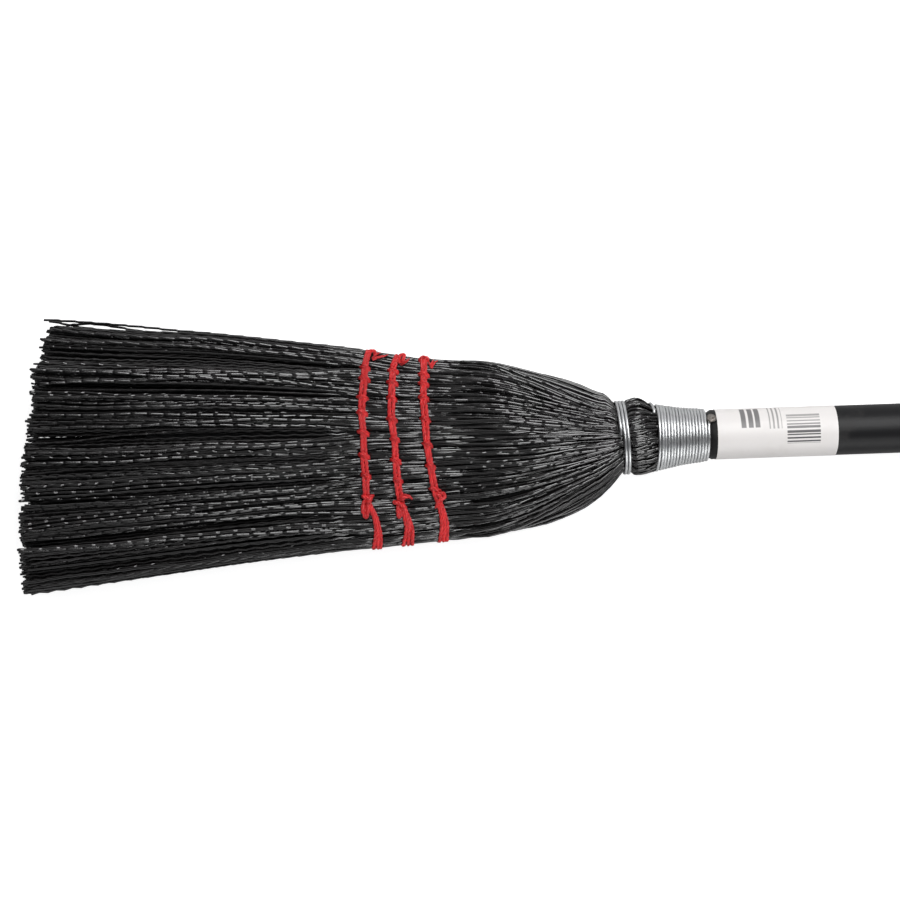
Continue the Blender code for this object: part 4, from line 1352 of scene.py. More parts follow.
@dataclass
class BristleHead:
    """All the filaments of the head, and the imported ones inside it."""

    form: HeadForm
    broad_counts: tuple[int, int, int] = (80, 73, 66)
    narrow_counts: tuple[int, int] = (19, 16)
    layer_sides: tuple[int, int, int] = (6, 5, 4)
    layer_sparse: tuple[int, int, int] = (1, 1, 2)
    clump_drifts: int = 11
    packing_depth: float = 3.4 * MM
    packing_neck_depth: float = 2.2 * MM
    packing_sink: float = 9.5 * MM
    packing_end_mm: float = -222.0
    packing_butt_mm: float = 24.0
    packing_step_mm: float = 4.0
    packing_steps: int = 25
    stitches_x: float = -118.0 * MM
    inner_columns: int = 54
    inner_rows: int = 15
    inner_reach: Span = (0.95, 0.86)
    inner_trim_mm: float = 3.0
    inner_starts: Span = (-215.0 * MM, -109.0 * MM)
    deep_inside: Span = (0.85, 0.55)
    inner_step: float = 3.75 * MM
    inner_scatter_mm: Span = (1.3, 1.0)
    inner_squeeze: float = 0.4
    inner_crimp: float = 0.3 * MM
    inner_radius: float = 0.6 * MM

    def build(self, axes: BroomAxes, material: bpy.types.Material) -> None:
        """Make and dress the five bundles.

        Args:
            axes: The broom's axes.
            material: The filaments' finish.
        """
        dice = np.random.default_rng(SEED)
        for face in Face:
            node = f"{face.value}_bristles"
            drifts = dice.normal(0.0, 1.0, self.clump_drifts) if face.is_broad else np.zeros(3)
            drifts[[0, -1]] = 0.0
            for layer in range(len(self.counts(face))):
                halves = ("_lower", "_upper") if face.is_broad and layer == 0 else ("",)
                drafts = [Draft() for _ in halves]
                self.sheet(face, layer, drifts).grow(drafts, dice)
                if face is Face.UPPER and layer == 0:
                    StrayFilaments().grow(drafts[0], dice)
                for draft, half in zip(drafts, halves):
                    piece = draft.build(f"{face.value}_filaments_{layer + 1}{half}", axes)
                    dress(piece, material, "bristle", node)
        draft = Draft()
        self.pack(draft)
        self.fill_tips(draft, dice)
        dress(draft.build("core_filaments", axes), material, "bristle", "core_bristles")

    def counts(self, face: Face) -> tuple[int, ...]:
        """How many filaments each layer of a face has, the outermost first."""
        return self.broad_counts if face.is_broad else self.narrow_counts

    def sheet(self, face: Face, layer: int, drifts: Array) -> FilamentSheet:
        """One layer of one face.

        Args:
            face: The face.
            layer: 0 for the outermost.
            drifts: How each clump strays across the face.

        Returns:
            The sheet, finer where it lies further out.
        """
        sides, sparse = self.layer_sides[layer], self.layer_sparse[layer]
        return FilamentSheet(self.form, face, layer, self.counts(face)[layer], sides, sparse, drifts)

    def pack(self, draft: Draft) -> None:
        """Add the tight inner body, from under the winding to past the stitches.

        Args:
            draft: The mesh that takes it.
        """
        end, butt = self.packing_end_mm, self.packing_butt_mm
        xs = np.concatenate([np.arange(end, butt, self.packing_step_mm), [butt]]) * MM
        sink = self.packing_depth + self.packing_sink * smooth(xs, self.stitches_x, -170.0 * MM)
        steps = np.linspace(1.0, -1.0, self.packing_steps)[:-1]
        outline = ((Face.FRONT, steps), (Face.LOWER, steps), (Face.BACK, -steps), (Face.UPPER, -steps))
        rings = []
        for x, depth in zip(xs, sink):
            if x > self.stitches_x:
                depth = min(depth, self.packing_depth if x < 0 else self.packing_neck_depth)
            around = [
                self.form.place(face, np.full(len(places), x), places, depth)[0] for face, places in outline
            ]
            rings.append(np.concatenate(around)[::-1])
        draft.grid(np.array(rings), tone=0.2)

    def fill_tips(self, draft: Draft, dice: np.random.Generator) -> None:
        """Add the inner filaments, whose ends show between the faces.

        Args:
            draft: The mesh that takes them.
            dice: Source of chance.
        """
        form = self.form
        across, through_head = self.inner_reach
        deep_start, start = self.inner_starts
        deep_u, deep_v = self.deep_inside
        for a in np.linspace(-across, across, self.inner_columns):
            for b in np.linspace(-through_head, through_head, self.inner_rows):
                u = a + dice.uniform(-0.5, 0.5) * 2 / self.inner_columns
                v = b + dice.uniform(-0.5, 0.5) * 2 / self.inner_rows
                trim = form.tip_line(u * form.tip_width, v * form.tip_half_thickness)
                end = float(trim) + dice.uniform(0.0, self.inner_trim_mm) * MM
                is_deep = abs(v) < deep_v and abs(u) < deep_u
                xs = np.arange(end, deep_start if is_deep else start, self.inner_step)
                free = form.freedom(xs)
                stray_y, stray_z = (dice.normal(0.0, spread) * MM * free for spread in self.inner_scatter_mm)
                y = u * form.half_width(xs, np.full(len(xs), u)) + stray_y
                z = v * form.half_thickness(xs) * form.thinning(u) + stray_z
                z = z * (1.0 - self.inner_squeeze * smooth(xs, -132.0 * MM, -113.0 * MM))
                turn = dice.uniform(0.0, 2 * math.pi)
                zigzag = self.inner_crimp * np.where(np.arange(len(xs)) % 2, 1.0, -1.0)
                path = np.stack([xs, y + zigzag * math.cos(turn), z + zigzag * math.sin(turn)], axis=1)
                draft.tube(path, self.inner_radius, 4, (0.0, 0.0, 1.0), tone=dice.uniform())


@dataclass
class ThroatBand:
    """Two and a half turns of wire in the throat, tilted, with one end tucked in at the front."""

    form: HeadForm
    wire_radius: float = 0.66 * MM
    sides: int = 12
    turns: float = 2.5
    steps: int = 72
    first_angle: float = -0.12
    pitch: float = 1.52 * MM
    middle_x: float = -1.8 * MM
    centre_radius: float = 16.05 * MM
    tuck_depth: float = 2.2 * MM
    tuck_turns: float = 0.07
    tail_turns: float = 0.05

    def build(self, axes: BroomAxes, material: bpy.types.Material) -> None:
        """Make and dress the band.

        Args:
            axes: The broom's axes.
            material: The wire's finish.
        """
        share = np.arange(int(self.turns * self.steps) + 1) / self.steps
        x = self.middle_x - self.turns * self.pitch / 2 + self.pitch * share
        angle = self.first_angle + 2 * math.pi * share
        path = np.stack([x, self.centre_radius * np.sin(angle), self.centre_radius * np.cos(angle)], axis=1)
        tuck = self.tuck_depth * (1.0 - smooth(share, 0.0, self.tuck_turns))
        tail = self.tuck_depth * smooth(share, self.turns - self.tail_turns, self.turns)
        scale = 1.0 - (tuck + tail) / self.centre_radius
        path[:, 1:] *= scale[:, None]
        path[:, 0] += self.form.band_offset(path[:, 1])
        draft = Draft()
        draft.tube(path, self.wire_radius, self.sides, (1.0, 0.0, 0.0))
        dress(draft.build("band_of_wire", axes, 60.0), material, "wire", "throat_band")


@dataclass
class NeckWinding:
    """Tight winding over the butts of the filaments, from its start in the bulge to the nail.

    Attributes:
        wire_radius: Radius of the wire.
        sides: Corners of its section.
        turns: Full turns on the cone.
        steps: Points in one turn.
        left_x: Where turn 0 starts, at the front.
        pitch: Rise of one turn.
        outside: Outer radius of the winding against X, in mm.
        upper_end: X of the free end against its angle in degrees, before turn 0.
        tuck: Angles in degrees over which the free end dives in, and how deep it does.
        nail_run: Degrees over which the last turn runs out to the nail, and how far.
        waver: How unevenly the turns lie, along the broom and outwards.
        drop: Where the winding's middle lies across the handle, and how much of that it loses.
    """

    wire_radius: float = 0.65 * MM
    sides: int = 12
    turns: int = 17
    steps: int = 80
    left_x: float = 12.75 * MM
    pitch: float = 1.385 * MM
    outside: Curve = (
        (9, 11, 12.6, 14.5, 19, 23.5, 28, 32.5, 35, 37),
        (16.2, 15.7, 15.1, 14.75, 13.95, 13.05, 12.6, 12.2, 11.75, 11.75),
    )
    upper_end: Curve = ((-317, -305, -290, -270, -180, -90, 0), (11.2, 11.0, 10.7, 10.4, 11.2, 12.1, 12.75))
    tuck: tuple[float, float, float] = (-305.0, -317.0, 2.4 * MM)
    nail_run: Span = (20.0, 0.3 * MM)
    waver: float = 0.05 * MM
    drop: Span = (-0.45 * MM, 0.3 * MM)

    def build(self, axes: BroomAxes, material: bpy.types.Material) -> None:
        """Make and dress the winding.

        Args:
            axes: The broom's axes.
            material: The wire's finish.
        """
        dice = np.random.default_rng(SEED + 1)
        last = 360.0 * (self.turns - 1) + math.degrees(NAIL_ANGLE)
        degrees = np.arange(self.upper_end[0][0], last, 360.0 / self.steps)
        turn = degrees / 360.0
        x = np.where(degrees < 0, through(*self.upper_end, degrees) * MM, self.left_x + turn * self.pitch)
        x = x + self.nail_run[1] * smooth(degrees, last - self.nail_run[0], last)
        knots = np.arange(-1.0, self.turns + 1.0, 0.5)
        aside, lift = (np.interp(turn, knots, dice.normal(0.0, 1.0, len(knots))) for _ in range(2))
        radius = through(*self.outside, x / MM) * MM - self.wire_radius + self.waver * lift
        radius = radius - self.tuck[2] * smooth(degrees, *self.tuck[:2])
        x = x + self.waver * aside
        angle = np.radians(degrees)
        drop = self.drop[0] + self.drop[1] * smooth(x, 14.0 * MM, 34.0 * MM)
        path = np.stack([x, radius * np.sin(angle) + drop, radius * np.cos(angle)], axis=1)
        draft = Draft()
        draft.tube(path, self.wire_radius, self.sides, (1.0, 0.0, 0.0))
        dress(draft.build("winding_wire", axes, 60.0), material, "wire", "neck_winding")


@dataclass
class WireNail:
    """Flat-headed nail that holds the wire's end, struck a little out of round.

    Attributes:
        x: Where it stands along the broom.
        base: Distance of the head's underside from the handle's axis.
        head_radius: Radius of the head.
        thickness: Thickness of the head.
        shank_radius: Radius of the shank.
        length: Length of the shank.
        point: Length of its point, and the point's end radius.
        sides: Corners round it.
        dome: Heights in the head as shares of its thickness, with the radius at each as a share.
        dents: Depth, number and turn of the waves that take the head out of round.
    """

    x: float = 36.25 * MM
    base: float = 12.3 * MM
    head_radius: float = 2.15 * MM
    thickness: float = 0.85 * MM
    shank_radius: float = 0.85 * MM
    length: float = 13.0 * MM
    point: Span = (2.0 * MM, 0.02 * MM)
    sides: int = 36
    dome: Curve = ((0.0, 0.25, 0.55, 0.86, 1.0, 0.96, 1.0), (0.9, 1.0, 1.0, 0.9, 0.62, 0.3, 0.05))
    dents: tuple[tuple[float, int, float], ...] = ((0.035, 3, 0.6), (0.02, 7, 0.0))

    def build(self, axes: BroomAxes, material: bpy.types.Material) -> None:
        """Make and dress the nail.

        Args:
            axes: The broom's axes.
            material: The nail's finish.
        """
        foot, (point, tip_radius) = self.base - self.length, self.point
        profile = [
            (foot, tip_radius),
            (foot + point, self.shank_radius),
            (self.base - tip_radius, self.shank_radius),
        ]
        for height, share in zip(*self.dome):
            profile.append((self.base + self.thickness * height, self.head_radius * share))
        turn = 2 * math.pi * np.arange(self.sides) / self.sides
        lump = 1.0 + sum(depth * np.sin(number * turn + start) for depth, number, start in self.dents)
        out = np.array([0.0, math.sin(NAIL_ANGLE), math.cos(NAIL_ANGLE)])
        side = np.array([0.0, math.cos(NAIL_ANGLE), -math.sin(NAIL_ANGLE)])
        along = np.array([1.0, 0.0, 0.0])
        circle = side * np.cos(turn)[:, None] - along * np.sin(turn)[:, None]
        rings = []
        for height, radius in profile:
            spread = radius * (lump if radius > self.shank_radius else 1.0)
            middle = np.array([self.x, 0.0, 0.0]) + out * height
            rings.append(middle + circle * np.reshape(spread, (-1, 1)))
        draft = Draft()
        draft.grid(np.array(rings))
        dress(draft.build("nail", axes, 40.0), material, "nail_steel", "wire_end_nail")


@dataclass(frozen=True)
class Strand:
    """A short length of twine on the front of the head.

    Attributes:
        line: Its (x, y) points, in mm.
        lift: Height of its middle above the filaments, in mm.
        size: Thickness as a share of the full cord.
        first: Height of its first point, in mm.
        last: Height of its last point, in mm.
        tip: Thickness of its end as a share of the rest.
    """

    line: tuple[tuple[float, float], ...]
    lift: float = 1.3
    size: float = 1.0
    first: float = -1.2
    last: float = -1.2
    tip: float = 1.0


KNOTS: dict[int, tuple[Strand, ...]] = {
    1: (
        Strand(((-119.1, -21.4), (-118.5, -22.3), (-117.0, -22.8), (-115.5, -22.3), (-114.9, -21.5)),
               2.5, 1.1),
        Strand(((-118.3, -23.6), (-117.0, -22.1), (-115.6, -23.1), (-116.6, -24.5), (-118.0, -23.9)),
               2.1, 0.95),
        Strand(((-118.2, -25.6), (-118.5, -27.8), (-118.1, -30.0)), 1.6, 0.8),
        Strand(((-116.6, -22.9), (-118.7, -24.6), (-119.4, -27.1), (-118.8, -29.9), (-118.0, -31.4),
                (-117.2, -29.8), (-117.1, -26.3), (-116.6, -22.9)), 1.3, 0.95),
    ),
    2: (
        Strand(((-105.6, -24.7), (-104.6, -25.3), (-102.8, -25.8), (-101.4, -26.9), (-100.5, -27.9)),
               2.4, 1.15),
        Strand(((-102.6, -25.6), (-103.9, -27.6), (-103.9, -29.8), (-103.3, -31.7), (-102.6, -30.1),
                (-102.2, -25.8)), 1.3, 0.95),
        Strand(((-102.9, -25.0), (-101.8, -23.6), (-100.4, -22.5), (-98.9, -22.7), (-97.4, -24.0)),
               2.3, 1.3, 0.9, 0.9, 0.4),
        Strand(((-103.0, -26.6), (-103.4, -28.4), (-103.2, -30.4)), 1.6, 0.8),
    ),
    3: (
        Strand(((-89.8, -19.2), (-88.4, -19.7), (-87.2, -20.0), (-85.9, -20.5), (-84.9, -20.9)), 2.2, 1.1),
        Strand(((-87.4, -21.4), (-86.0, -22.3), (-84.6, -21.8), (-83.3, -22.2), (-83.1, -23.4),
                (-84.2, -24.4), (-85.6, -25.3), (-86.8, -27.0), (-87.5, -28.6)), 1.7, 1.0, 0.3, -0.9, 0.6),
        Strand(((-86.6, -22.2), (-85.2, -23.1), (-84.6, -24.3), (-85.3, -26.0)), 1.5, 1.0),
    ),
}
TAILS: dict[int, tuple[Strand, ...]] = {
    1: (
        Strand(((-114.5, 39.2), (-114.0, 41.4), (-113.1, 42.5), (-112.3, 41.4), (-111.9, 39.2)), 1.2, 0.95),
        Strand(((-112.8, 38.6), (-111.1, 39.9), (-109.1, 41.0)), 1.2, 0.7, 0.4, 0.6, 0.3),
        Strand(((-112.9, 38.0), (-110.3, 38.7), (-108.1, 39.0), (-105.8, 39.9)), 1.0, 0.7, 0.4, 0.6, 0.3),
    ),
    2: (
        Strand(((-100.9, 36.2), (-100.9, 38.4), (-99.9, 39.8), (-98.9, 38.9), (-99.2, 37.3), (-100.1, 36.1)),
               1.4, 0.95),
        Strand(((-99.4, 35.9), (-98.5, 36.0), (-97.1, 36.9), (-96.4, 38.2)), 0.9, 0.35, 0.2, 0.6, 0.4),
        Strand(((-99.6, 36.4), (-98.1, 36.8), (-97.0, 37.9)), 0.9, 0.3, 0.2, 0.6, 0.4),
    ),
    3: (
        Strand(((-91.8, 36.2), (-91.5, 37.6), (-90.2, 38.0), (-88.9, 37.6), (-88.6, 36.2)), 1.2, 0.95),
        Strand(((-87.0, 33.6), (-87.7, 35.2), (-88.3, 36.9)), 1.2, 0.6, 0.2, 0.5, 0.4),
        Strand(((-87.0, 33.6), (-86.6, 35.2), (-86.0, 37.0)), 1.3, 0.6, 0.2, 0.6, 0.4),
        Strand(((-86.9, 33.6), (-85.7, 35.1), (-84.1, 36.6)), 1.2, 0.6, 0.2, 0.5, 0.4),
    ),
}


# Faces in the order of a round, with the places at which each starts and ends, and its points.
ROUND = (
    (Face.UPPER, 0.0, 1.0, 12),
    (Face.FRONT, 1.0, -1.0, 190),
    (Face.LOWER, 1.0, -1.0, 26),
    (Face.BACK, -1.0, 1.0, 150),
    (Face.UPPER, -1.0, 0.0, 13),
)
# Points of a lock stitch in mm: steps along X and Y, height, and how far the second one lies apart.
LOCK = (
    (-1.6, 0.7, -3.0, 0.0),
    (-2.05, 0.55, -0.6, 0.1),
    (-1.35, 0.40, 1.3, 0.45),
    (0.0, -0.05, 2.25, 0.95),
    (1.40, -0.85, 1.3, 1.0),
    (1.85, -1.35, -0.6, 0.8),
    (1.5, -1.6, -3.0, 0.6),
)


@dataclass
class StitchTwine:
    """One row of red twine: two rounds of wrap, lock stitches over it, a knot and frayed ends.

    Attributes:
        form: The head's outer form.
        row: Where the row runs.
        ply_swell: Share by which a ply swells along the cord, and the length that it takes.
        flatten: Height and width of the cord's section, as shares of a round one's.
    """

    form: HeadForm
    row: RowPath
    cord_radius: float = 0.78 * MM
    ply_radius: float = 0.41 * MM
    ply_offset: float = 0.43 * MM
    ply_count: int = 3
    ply_swell: Span = (0.12, 2.3 * MM)
    flatten: Span = (0.8, 1.12)
    twist: float = 6.0 * MM
    wrap_pitch: float = 1.52 * MM
    wrap_sink: float = 0.55
    wrap_waver: Span = (0.14 * MM, 5.3 * MM)
    lead_mm: Span = (-25.8, -42.6)
    lock_size: float = 0.92
    lock_stretch: Span = (0.92, 1.12)
    pull: StitchPull = field(default_factory=StitchPull)

    def lay(self, draft: Draft, path: Array, up: Array, dice: np.random.Generator,
            size: Array | float = 1.0) -> None:
        """Twist plies along a line.

        Args:
            draft: The mesh that takes them.
            path: Centre line of the cord.
            up: Outward direction, one for all or one for each point.
            dice: Source of chance.
            size: Thickness as a share of the full cord, one for all or one for each point.
        """
        size = np.broadcast_to(np.asarray(size, float), (len(path),))
        tangent = unit(np.gradient(path, axis=0))
        high = unit(up - tangent * np.sum(up * tangent, axis=1, keepdims=True))
        wide = np.cross(tangent, high)
        reach = reach_along(path)
        start = dice.uniform(0.0, 2 * math.pi)
        rise, length = self.ply_swell
        flat, broad = self.flatten
        for ply in range(self.ply_count):
            turn = start + 2 * math.pi * (reach / self.twist + ply / self.ply_count)
            swell = 1.0 + rise * np.sin(reach / length + 2.0 * ply)
            offset = self.ply_offset * size[:, None] * (
                high * np.cos(turn)[:, None] * flat + wide * np.sin(turn)[:, None] * broad
            )
            draft.tube(path + offset, self.ply_radius * size * swell, 6, high, tone=dice.uniform())

    def front_point(self, x: float, y: float, height: float) -> Array:
        """A point above the front face, once the stitches have sunk it.

        Args:
            x: Place along the broom.
            y: Place across it.
            height: How far above the face.

        Returns:
            The point.
        """
        side = self.form.half_width(np.array(x), np.array(y))
        sunk = float(self.pull.depth(np.array(x), np.array(y)))
        u = np.clip(y / side, -1.0, 1.0)
        return self.form.place(Face.FRONT, np.array(x), u, sunk - height)[0]

    def middle_x(self, face: Face, y: Array, places: Array) -> Array:
        """Middle of the row on one face.

        Args:
            face: The face.
            y: Places across the broom.
            places: The same places across the face, from -1 to 1.

        Returns:
            Its place along the broom at each.
        """
        if face.is_broad:
            return self.row.x_at(y, face is Face.FRONT)
        seen, hidden = self.row.x_at(y), self.row.x_at(y, False)
        return hidden + (seen - hidden) * (places + 1.0) / 2

    def gap(self, face: Face, y: Array, places: Array) -> Array | float:
        """Distance between the two rounds on one face.

        Args:
            face: The face.
            y: Places across the broom.
            places: The same places across the face, from -1 to 1.

        Returns:
            The distance at each.
        """
        if face is Face.FRONT:
            return through(*self.row.spread, y / MM) * MM
        if face is Face.LOWER:
            wide = self.row.spread[1][0] * MM
            return wide + (self.wrap_pitch - wide) * (1 - places) / 2
        return self.wrap_pitch

    def one_round(self, number: int) -> tuple[Array, Array]:
        """Line of one round about the head.

        Args:
            number: 0 for the first round, 1 for the second.

        Returns:
            Its points and the outward direction at each.
        """
        paths, ups = [], []
        waver, waver_length = self.wrap_waver
        for done, (face, first, last, count) in enumerate(ROUND):
            places = np.linspace(first, last, count, endpoint=False)
            share = (done + np.arange(count) / count) / len(ROUND)
            y = self.form.place(face, np.full(count, self.row.edge_x), places, 0.0)[0][:, 1]
            side = np.ones(count) if number else smooth(share, 0.55, 0.95)
            x = self.middle_x(face, y, places) + self.gap(face, y, places) * (side - 0.5)
            x = x + waver * np.sin(y / waver_length + 2.1 * number + self.row.number)
            sunk = self.pull.depth(x, y) * self.wrap_sink if face is Face.FRONT else 0.4 * MM
            points, outward, _ = self.form.place(face, x, places, sunk - self.cord_radius * 0.8)
            paths.append(points)
            ups.append(outward)
        return np.concatenate(paths), np.concatenate(ups)

    def wrap(self, dice: np.random.Generator) -> Draft:
        """Lay two rounds about the head, and the lead that runs from the knot to the lower edge.

        Args:
            dice: Source of chance.

        Returns:
            The mesh in the making.
        """
        draft = Draft()
        paths, ups = zip(*(self.one_round(number) for number in range(2)))
        self.lay(draft, np.concatenate(paths), np.concatenate(ups), dice)
        line = [
            self.front_point(float(self.row.x_at(np.array(y * MM))), y * MM, 1.0 * MM)
            for y in np.linspace(*self.lead_mm, 9)
        ]
        edge_x = line[-1][0]
        line += [
            self.form.place(Face.LOWER, edge_x, np.array(u), (1.5 - 2.0 * u) * MM)[0]
            for u in np.linspace(0.9, 0.1, 6)
        ]
        self.lay(draft, curve_points(line, 0.35 * MM), np.array([0.0, -0.2, 1.0]), dice, 0.95)
        return draft

    def strand(self, draft: Draft, strand: Strand, dice: np.random.Generator) -> None:
        """Lay one short length on the front.

        Args:
            draft: The mesh that takes it.
            strand: Its line, heights and thickness.
            dice: Source of chance.
        """
        line = np.array(strand.line)
        heights = np.full(len(line), strand.lift)
        heights[0], heights[-1] = strand.first, strand.last
        points = [self.front_point(x * MM, y * MM, high * MM) for (x, y), high in zip(line, heights)]
        path = curve_points(points, 0.25 * MM)
        share = np.linspace(0.0, 1.0, len(path))
        size = strand.size * (1.0 + (strand.tip - 1.0) * smooth(share, 0.45, 1.0))
        self.lay(draft, path, np.array([0.0, 0.0, 1.0]), dice, size)

    def locks(self, dice: np.random.Generator) -> Draft:
        """Lay the short slanting stitches that hold the wrap down, front and back, and the frayed end.

        Args:
            dice: Source of chance.

        Returns:
            The mesh in the making.
        """
        draft = Draft()
        up = np.array([0.0, 0.0, 1.0])
        for number, lock_y in enumerate(self.row.lock_ys):
            y = lock_y * MM
            x, back_x = (float(self.row.x_at(np.array(y), front)) for front in (True, False))
            stretch = dice.uniform(*self.lock_stretch)
            for second in (0.0, 1.0):
                lift = 0.1 * MM * second
                points = [
                    self.front_point(x + dx * stretch, y + dy * stretch + apart * second, high + lift)
                    for dx, dy, high, apart in np.array(LOCK) * MM
                ]
                path = curve_points(points, 0.28 * MM)
                if number:
                    self.lay(draft, path, up, dice, self.lock_size)
                mirrored = path * np.array([1.0, 1.0, -1.0])
                mirrored[:, 0] += back_x - x
                self.lay(draft, mirrored, -up, dice, self.lock_size)
        for strand in TAILS[self.row.number]:
            self.strand(draft, strand, dice)
        return draft

    def build(self, axes: BroomAxes, material: bpy.types.Material) -> None:
        """Make and dress the row.

        Args:
            axes: The broom's axes.
            material: The twine's finish.
        """
        dice = np.random.default_rng(SEED + 20 + self.row.number)
        stem = f"stitch_{self.row.number}"
        dress(self.wrap(dice).build(f"{stem}_wrap_twine", axes), material, "twine", f"{stem}_wrap")
        dress(self.locks(dice).build(f"{stem}_lock_twine", axes), material, "twine", f"{stem}_lock")
        knot = Draft()
        for strand in KNOTS[self.row.number]:
            self.strand(knot, strand, dice)
        dress(knot.build(f"{stem}_knot_twine", axes), material, "twine", f"{stem}_knot")


@dataclass
class Handle:
    """Turned dowel with a domed grip end and a tapered tenon inside the head.

    Attributes:
        tenon: Places along the tenon and its radius there, in mm.
        rings_mm: Places along the shaft where a ring of corners lies.
    """

    radius: float = 11.1 * MM
    tenon: tuple[Span, ...] = (
        (-71.0, 0.05), (-71.0, 2.5), (-60.0, 5.0), (-4.9, 8.7), (35.4, 10.0), (36.4, 10.75),
    )
    shaft_start_x: float = 37.0 * MM
    grip_flat: float = 6.0 * MM
    grip_dome: float = 6.0 * MM
    dome_steps: int = 8
    rings_mm: range = range(60, 630, 30)
    sides: int = 96

    def build(self, axes: BroomAxes, material: bpy.types.Material) -> None:
        """Make and dress the handle.

        Args:
            axes: The broom's axes.
            material: The paint's finish.
        """
        profile = [(x * MM, radius * MM) for x, radius in self.tenon]
        profile.append((self.shaft_start_x, self.radius))
        profile += [(x * MM, self.radius) for x in self.rings_mm]
        for step in range(self.dome_steps + 1):
            angle = math.pi / 2 * (1.0 - step / self.dome_steps)
            spread = self.grip_flat + (self.radius - self.grip_flat) * math.sin(angle)
            profile.append((GRIP_END_X - self.grip_dome * (1.0 - math.cos(angle)), spread))
        profile.append((GRIP_END_X, 0.05 * MM))
        draft = Draft()
        draft.turned(profile, self.sides)
        dress(draft.build("painted_dowel", axes, 50.0), material, "painted_wood", "handle")


@dataclass(frozen=True)
class PrintArea:
    """A printed area of the label.

    Attributes:
        along: Where it starts and ends along the label, in mm.
        around: Where it starts and ends round the handle, in degrees from the front.
    """

    along: Span
    around: Span

    def holds(self, along: Array, degrees: Array) -> Array:
        """Whether places on the label, in mm and degrees, lie in the area."""
        inside = (along > self.along[0]) & (along < self.along[1])
        return inside & (degrees > self.around[0]) & (degrees < self.around[1])


@dataclass
class PaperLabel:
    """One wrap of paper round the handle, with a lapped seam at the back and plain printed bars.

    Attributes:
        print_edges: Angles round the handle between which the paper is divided finest.
        wide_stripes: Pitch in mm, shift and share of the wider bars.
        thin_stripes: The same for the thinner ones between them.
        block_lines: The same for the lines of the block.
        column_lines: The same for the lines of the column.
    """

    start_x: float = 38.8 * MM
    length: float = 53.4 * MM
    inner_radius: float = 11.12 * MM
    thickness: float = 0.15 * MM
    lap: float = 0.35
    print_edges: Span = (1.4, -0.53)
    steps_round: tuple[int, int, int] = (28, 150, 46)
    steps_along: int = 200
    bars: PrintArea = PrintArea((30.7, 45.4), (-27.0, 46.0))
    block: PrintArea = PrintArea((10.7, 19.6), (12.0, 72.0))
    column: PrintArea = PrintArea((23.0, 28.5), (8.0, 75.0))
    print_radius_mm: float = 11.2
    wide_stripes: tuple[float, float, float] = (1.55, 0.0, 0.42)
    thin_stripes: tuple[float, float, float] = (2.6, 0.2, 0.2)
    block_lines: tuple[float, float, float] = (3.0, 0.43, 0.72)
    column_lines: tuple[float, float, float] = (1.9, 0.1, 0.45)
    block_tone: float = 0.8
    column_tone: float = 0.6

    def ink(self, x: Array, angle: Array) -> Array:
        """Where ink lies: plain bars, a plain block and a column of lines.

        Args:
            x: Places along the label, from its start.
            angle: Places round the handle, from the front.

        Returns:
            How dark the ink is, from 0 for bare paper to 1.
        """
        along, degrees = x / MM, np.degrees(angle)
        width = angle * self.print_radius_mm
        bars = on_stripes(width, *self.wide_stripes) | on_stripes(width, *self.thin_stripes)
        bars &= self.bars.holds(along, degrees)
        block = self.block.holds(along, degrees) & on_stripes(along, *self.block_lines)
        column = self.column.holds(along, degrees) & on_stripes(along, *self.column_lines)
        shade = 0.55 + 0.4 * smooth(degrees, 40.0, -10.0)
        rest = np.where(block, self.block_tone, np.where(column, self.column_tone, 0.0))
        return np.where(bars, shade, rest)

    def build(self, axes: BroomAxes, material: bpy.types.Material) -> None:
        """Make and dress the label.

        Args:
            axes: The broom's axes.
            material: The paper's finish.
        """
        ends = (math.pi, *self.print_edges, -math.pi - self.lap)
        runs = zip(ends, ends[1:], self.steps_round)
        turns = [np.linspace(first, last, steps, endpoint=False) for first, last, steps in runs]
        turn = np.append(np.concatenate(turns), ends[-1])
        raised = self.thickness * smooth(turn, -math.pi + 0.1, -math.pi - 0.05)
        x = np.linspace(self.start_x, self.start_x + self.length, self.steps_along)
        outer, inner = (self.inner_radius + raised + wall for wall in (self.thickness, 0.0))
        radius = np.concatenate([outer, inner[::-1]])
        angles = np.concatenate([turn, turn[::-1]])
        section = np.stack([np.zeros_like(angles), radius * np.sin(angles), radius * np.cos(angles)], axis=1)
        rings = np.repeat(section[None], len(x), axis=0)
        rings[:, :, 0] = x[:, None]
        draft = Draft()
        draft.grid(rings)
        is_outer = np.repeat([1.0, 0.0], len(turn))
        marks = self.ink(np.repeat(x - self.start_x, len(angles)), np.tile(angles, len(x)))
        draft.tones = [marks * np.tile(is_outer, len(x))]
        dress(draft.build("paper_label", axes, 50.0), material, "label_paper", "handle_label")


@dataclass(frozen=True)
class Panel:
    """One soft light that looks at the head.

    Attributes:
        name: Its name.
        place: Its middle, in the broom's axes.
        size: Its length along the broom and its height.
        power: Brightness of its face.
    """

    name: str
    place: tuple[float, float, float]
    size: Span
    power: float


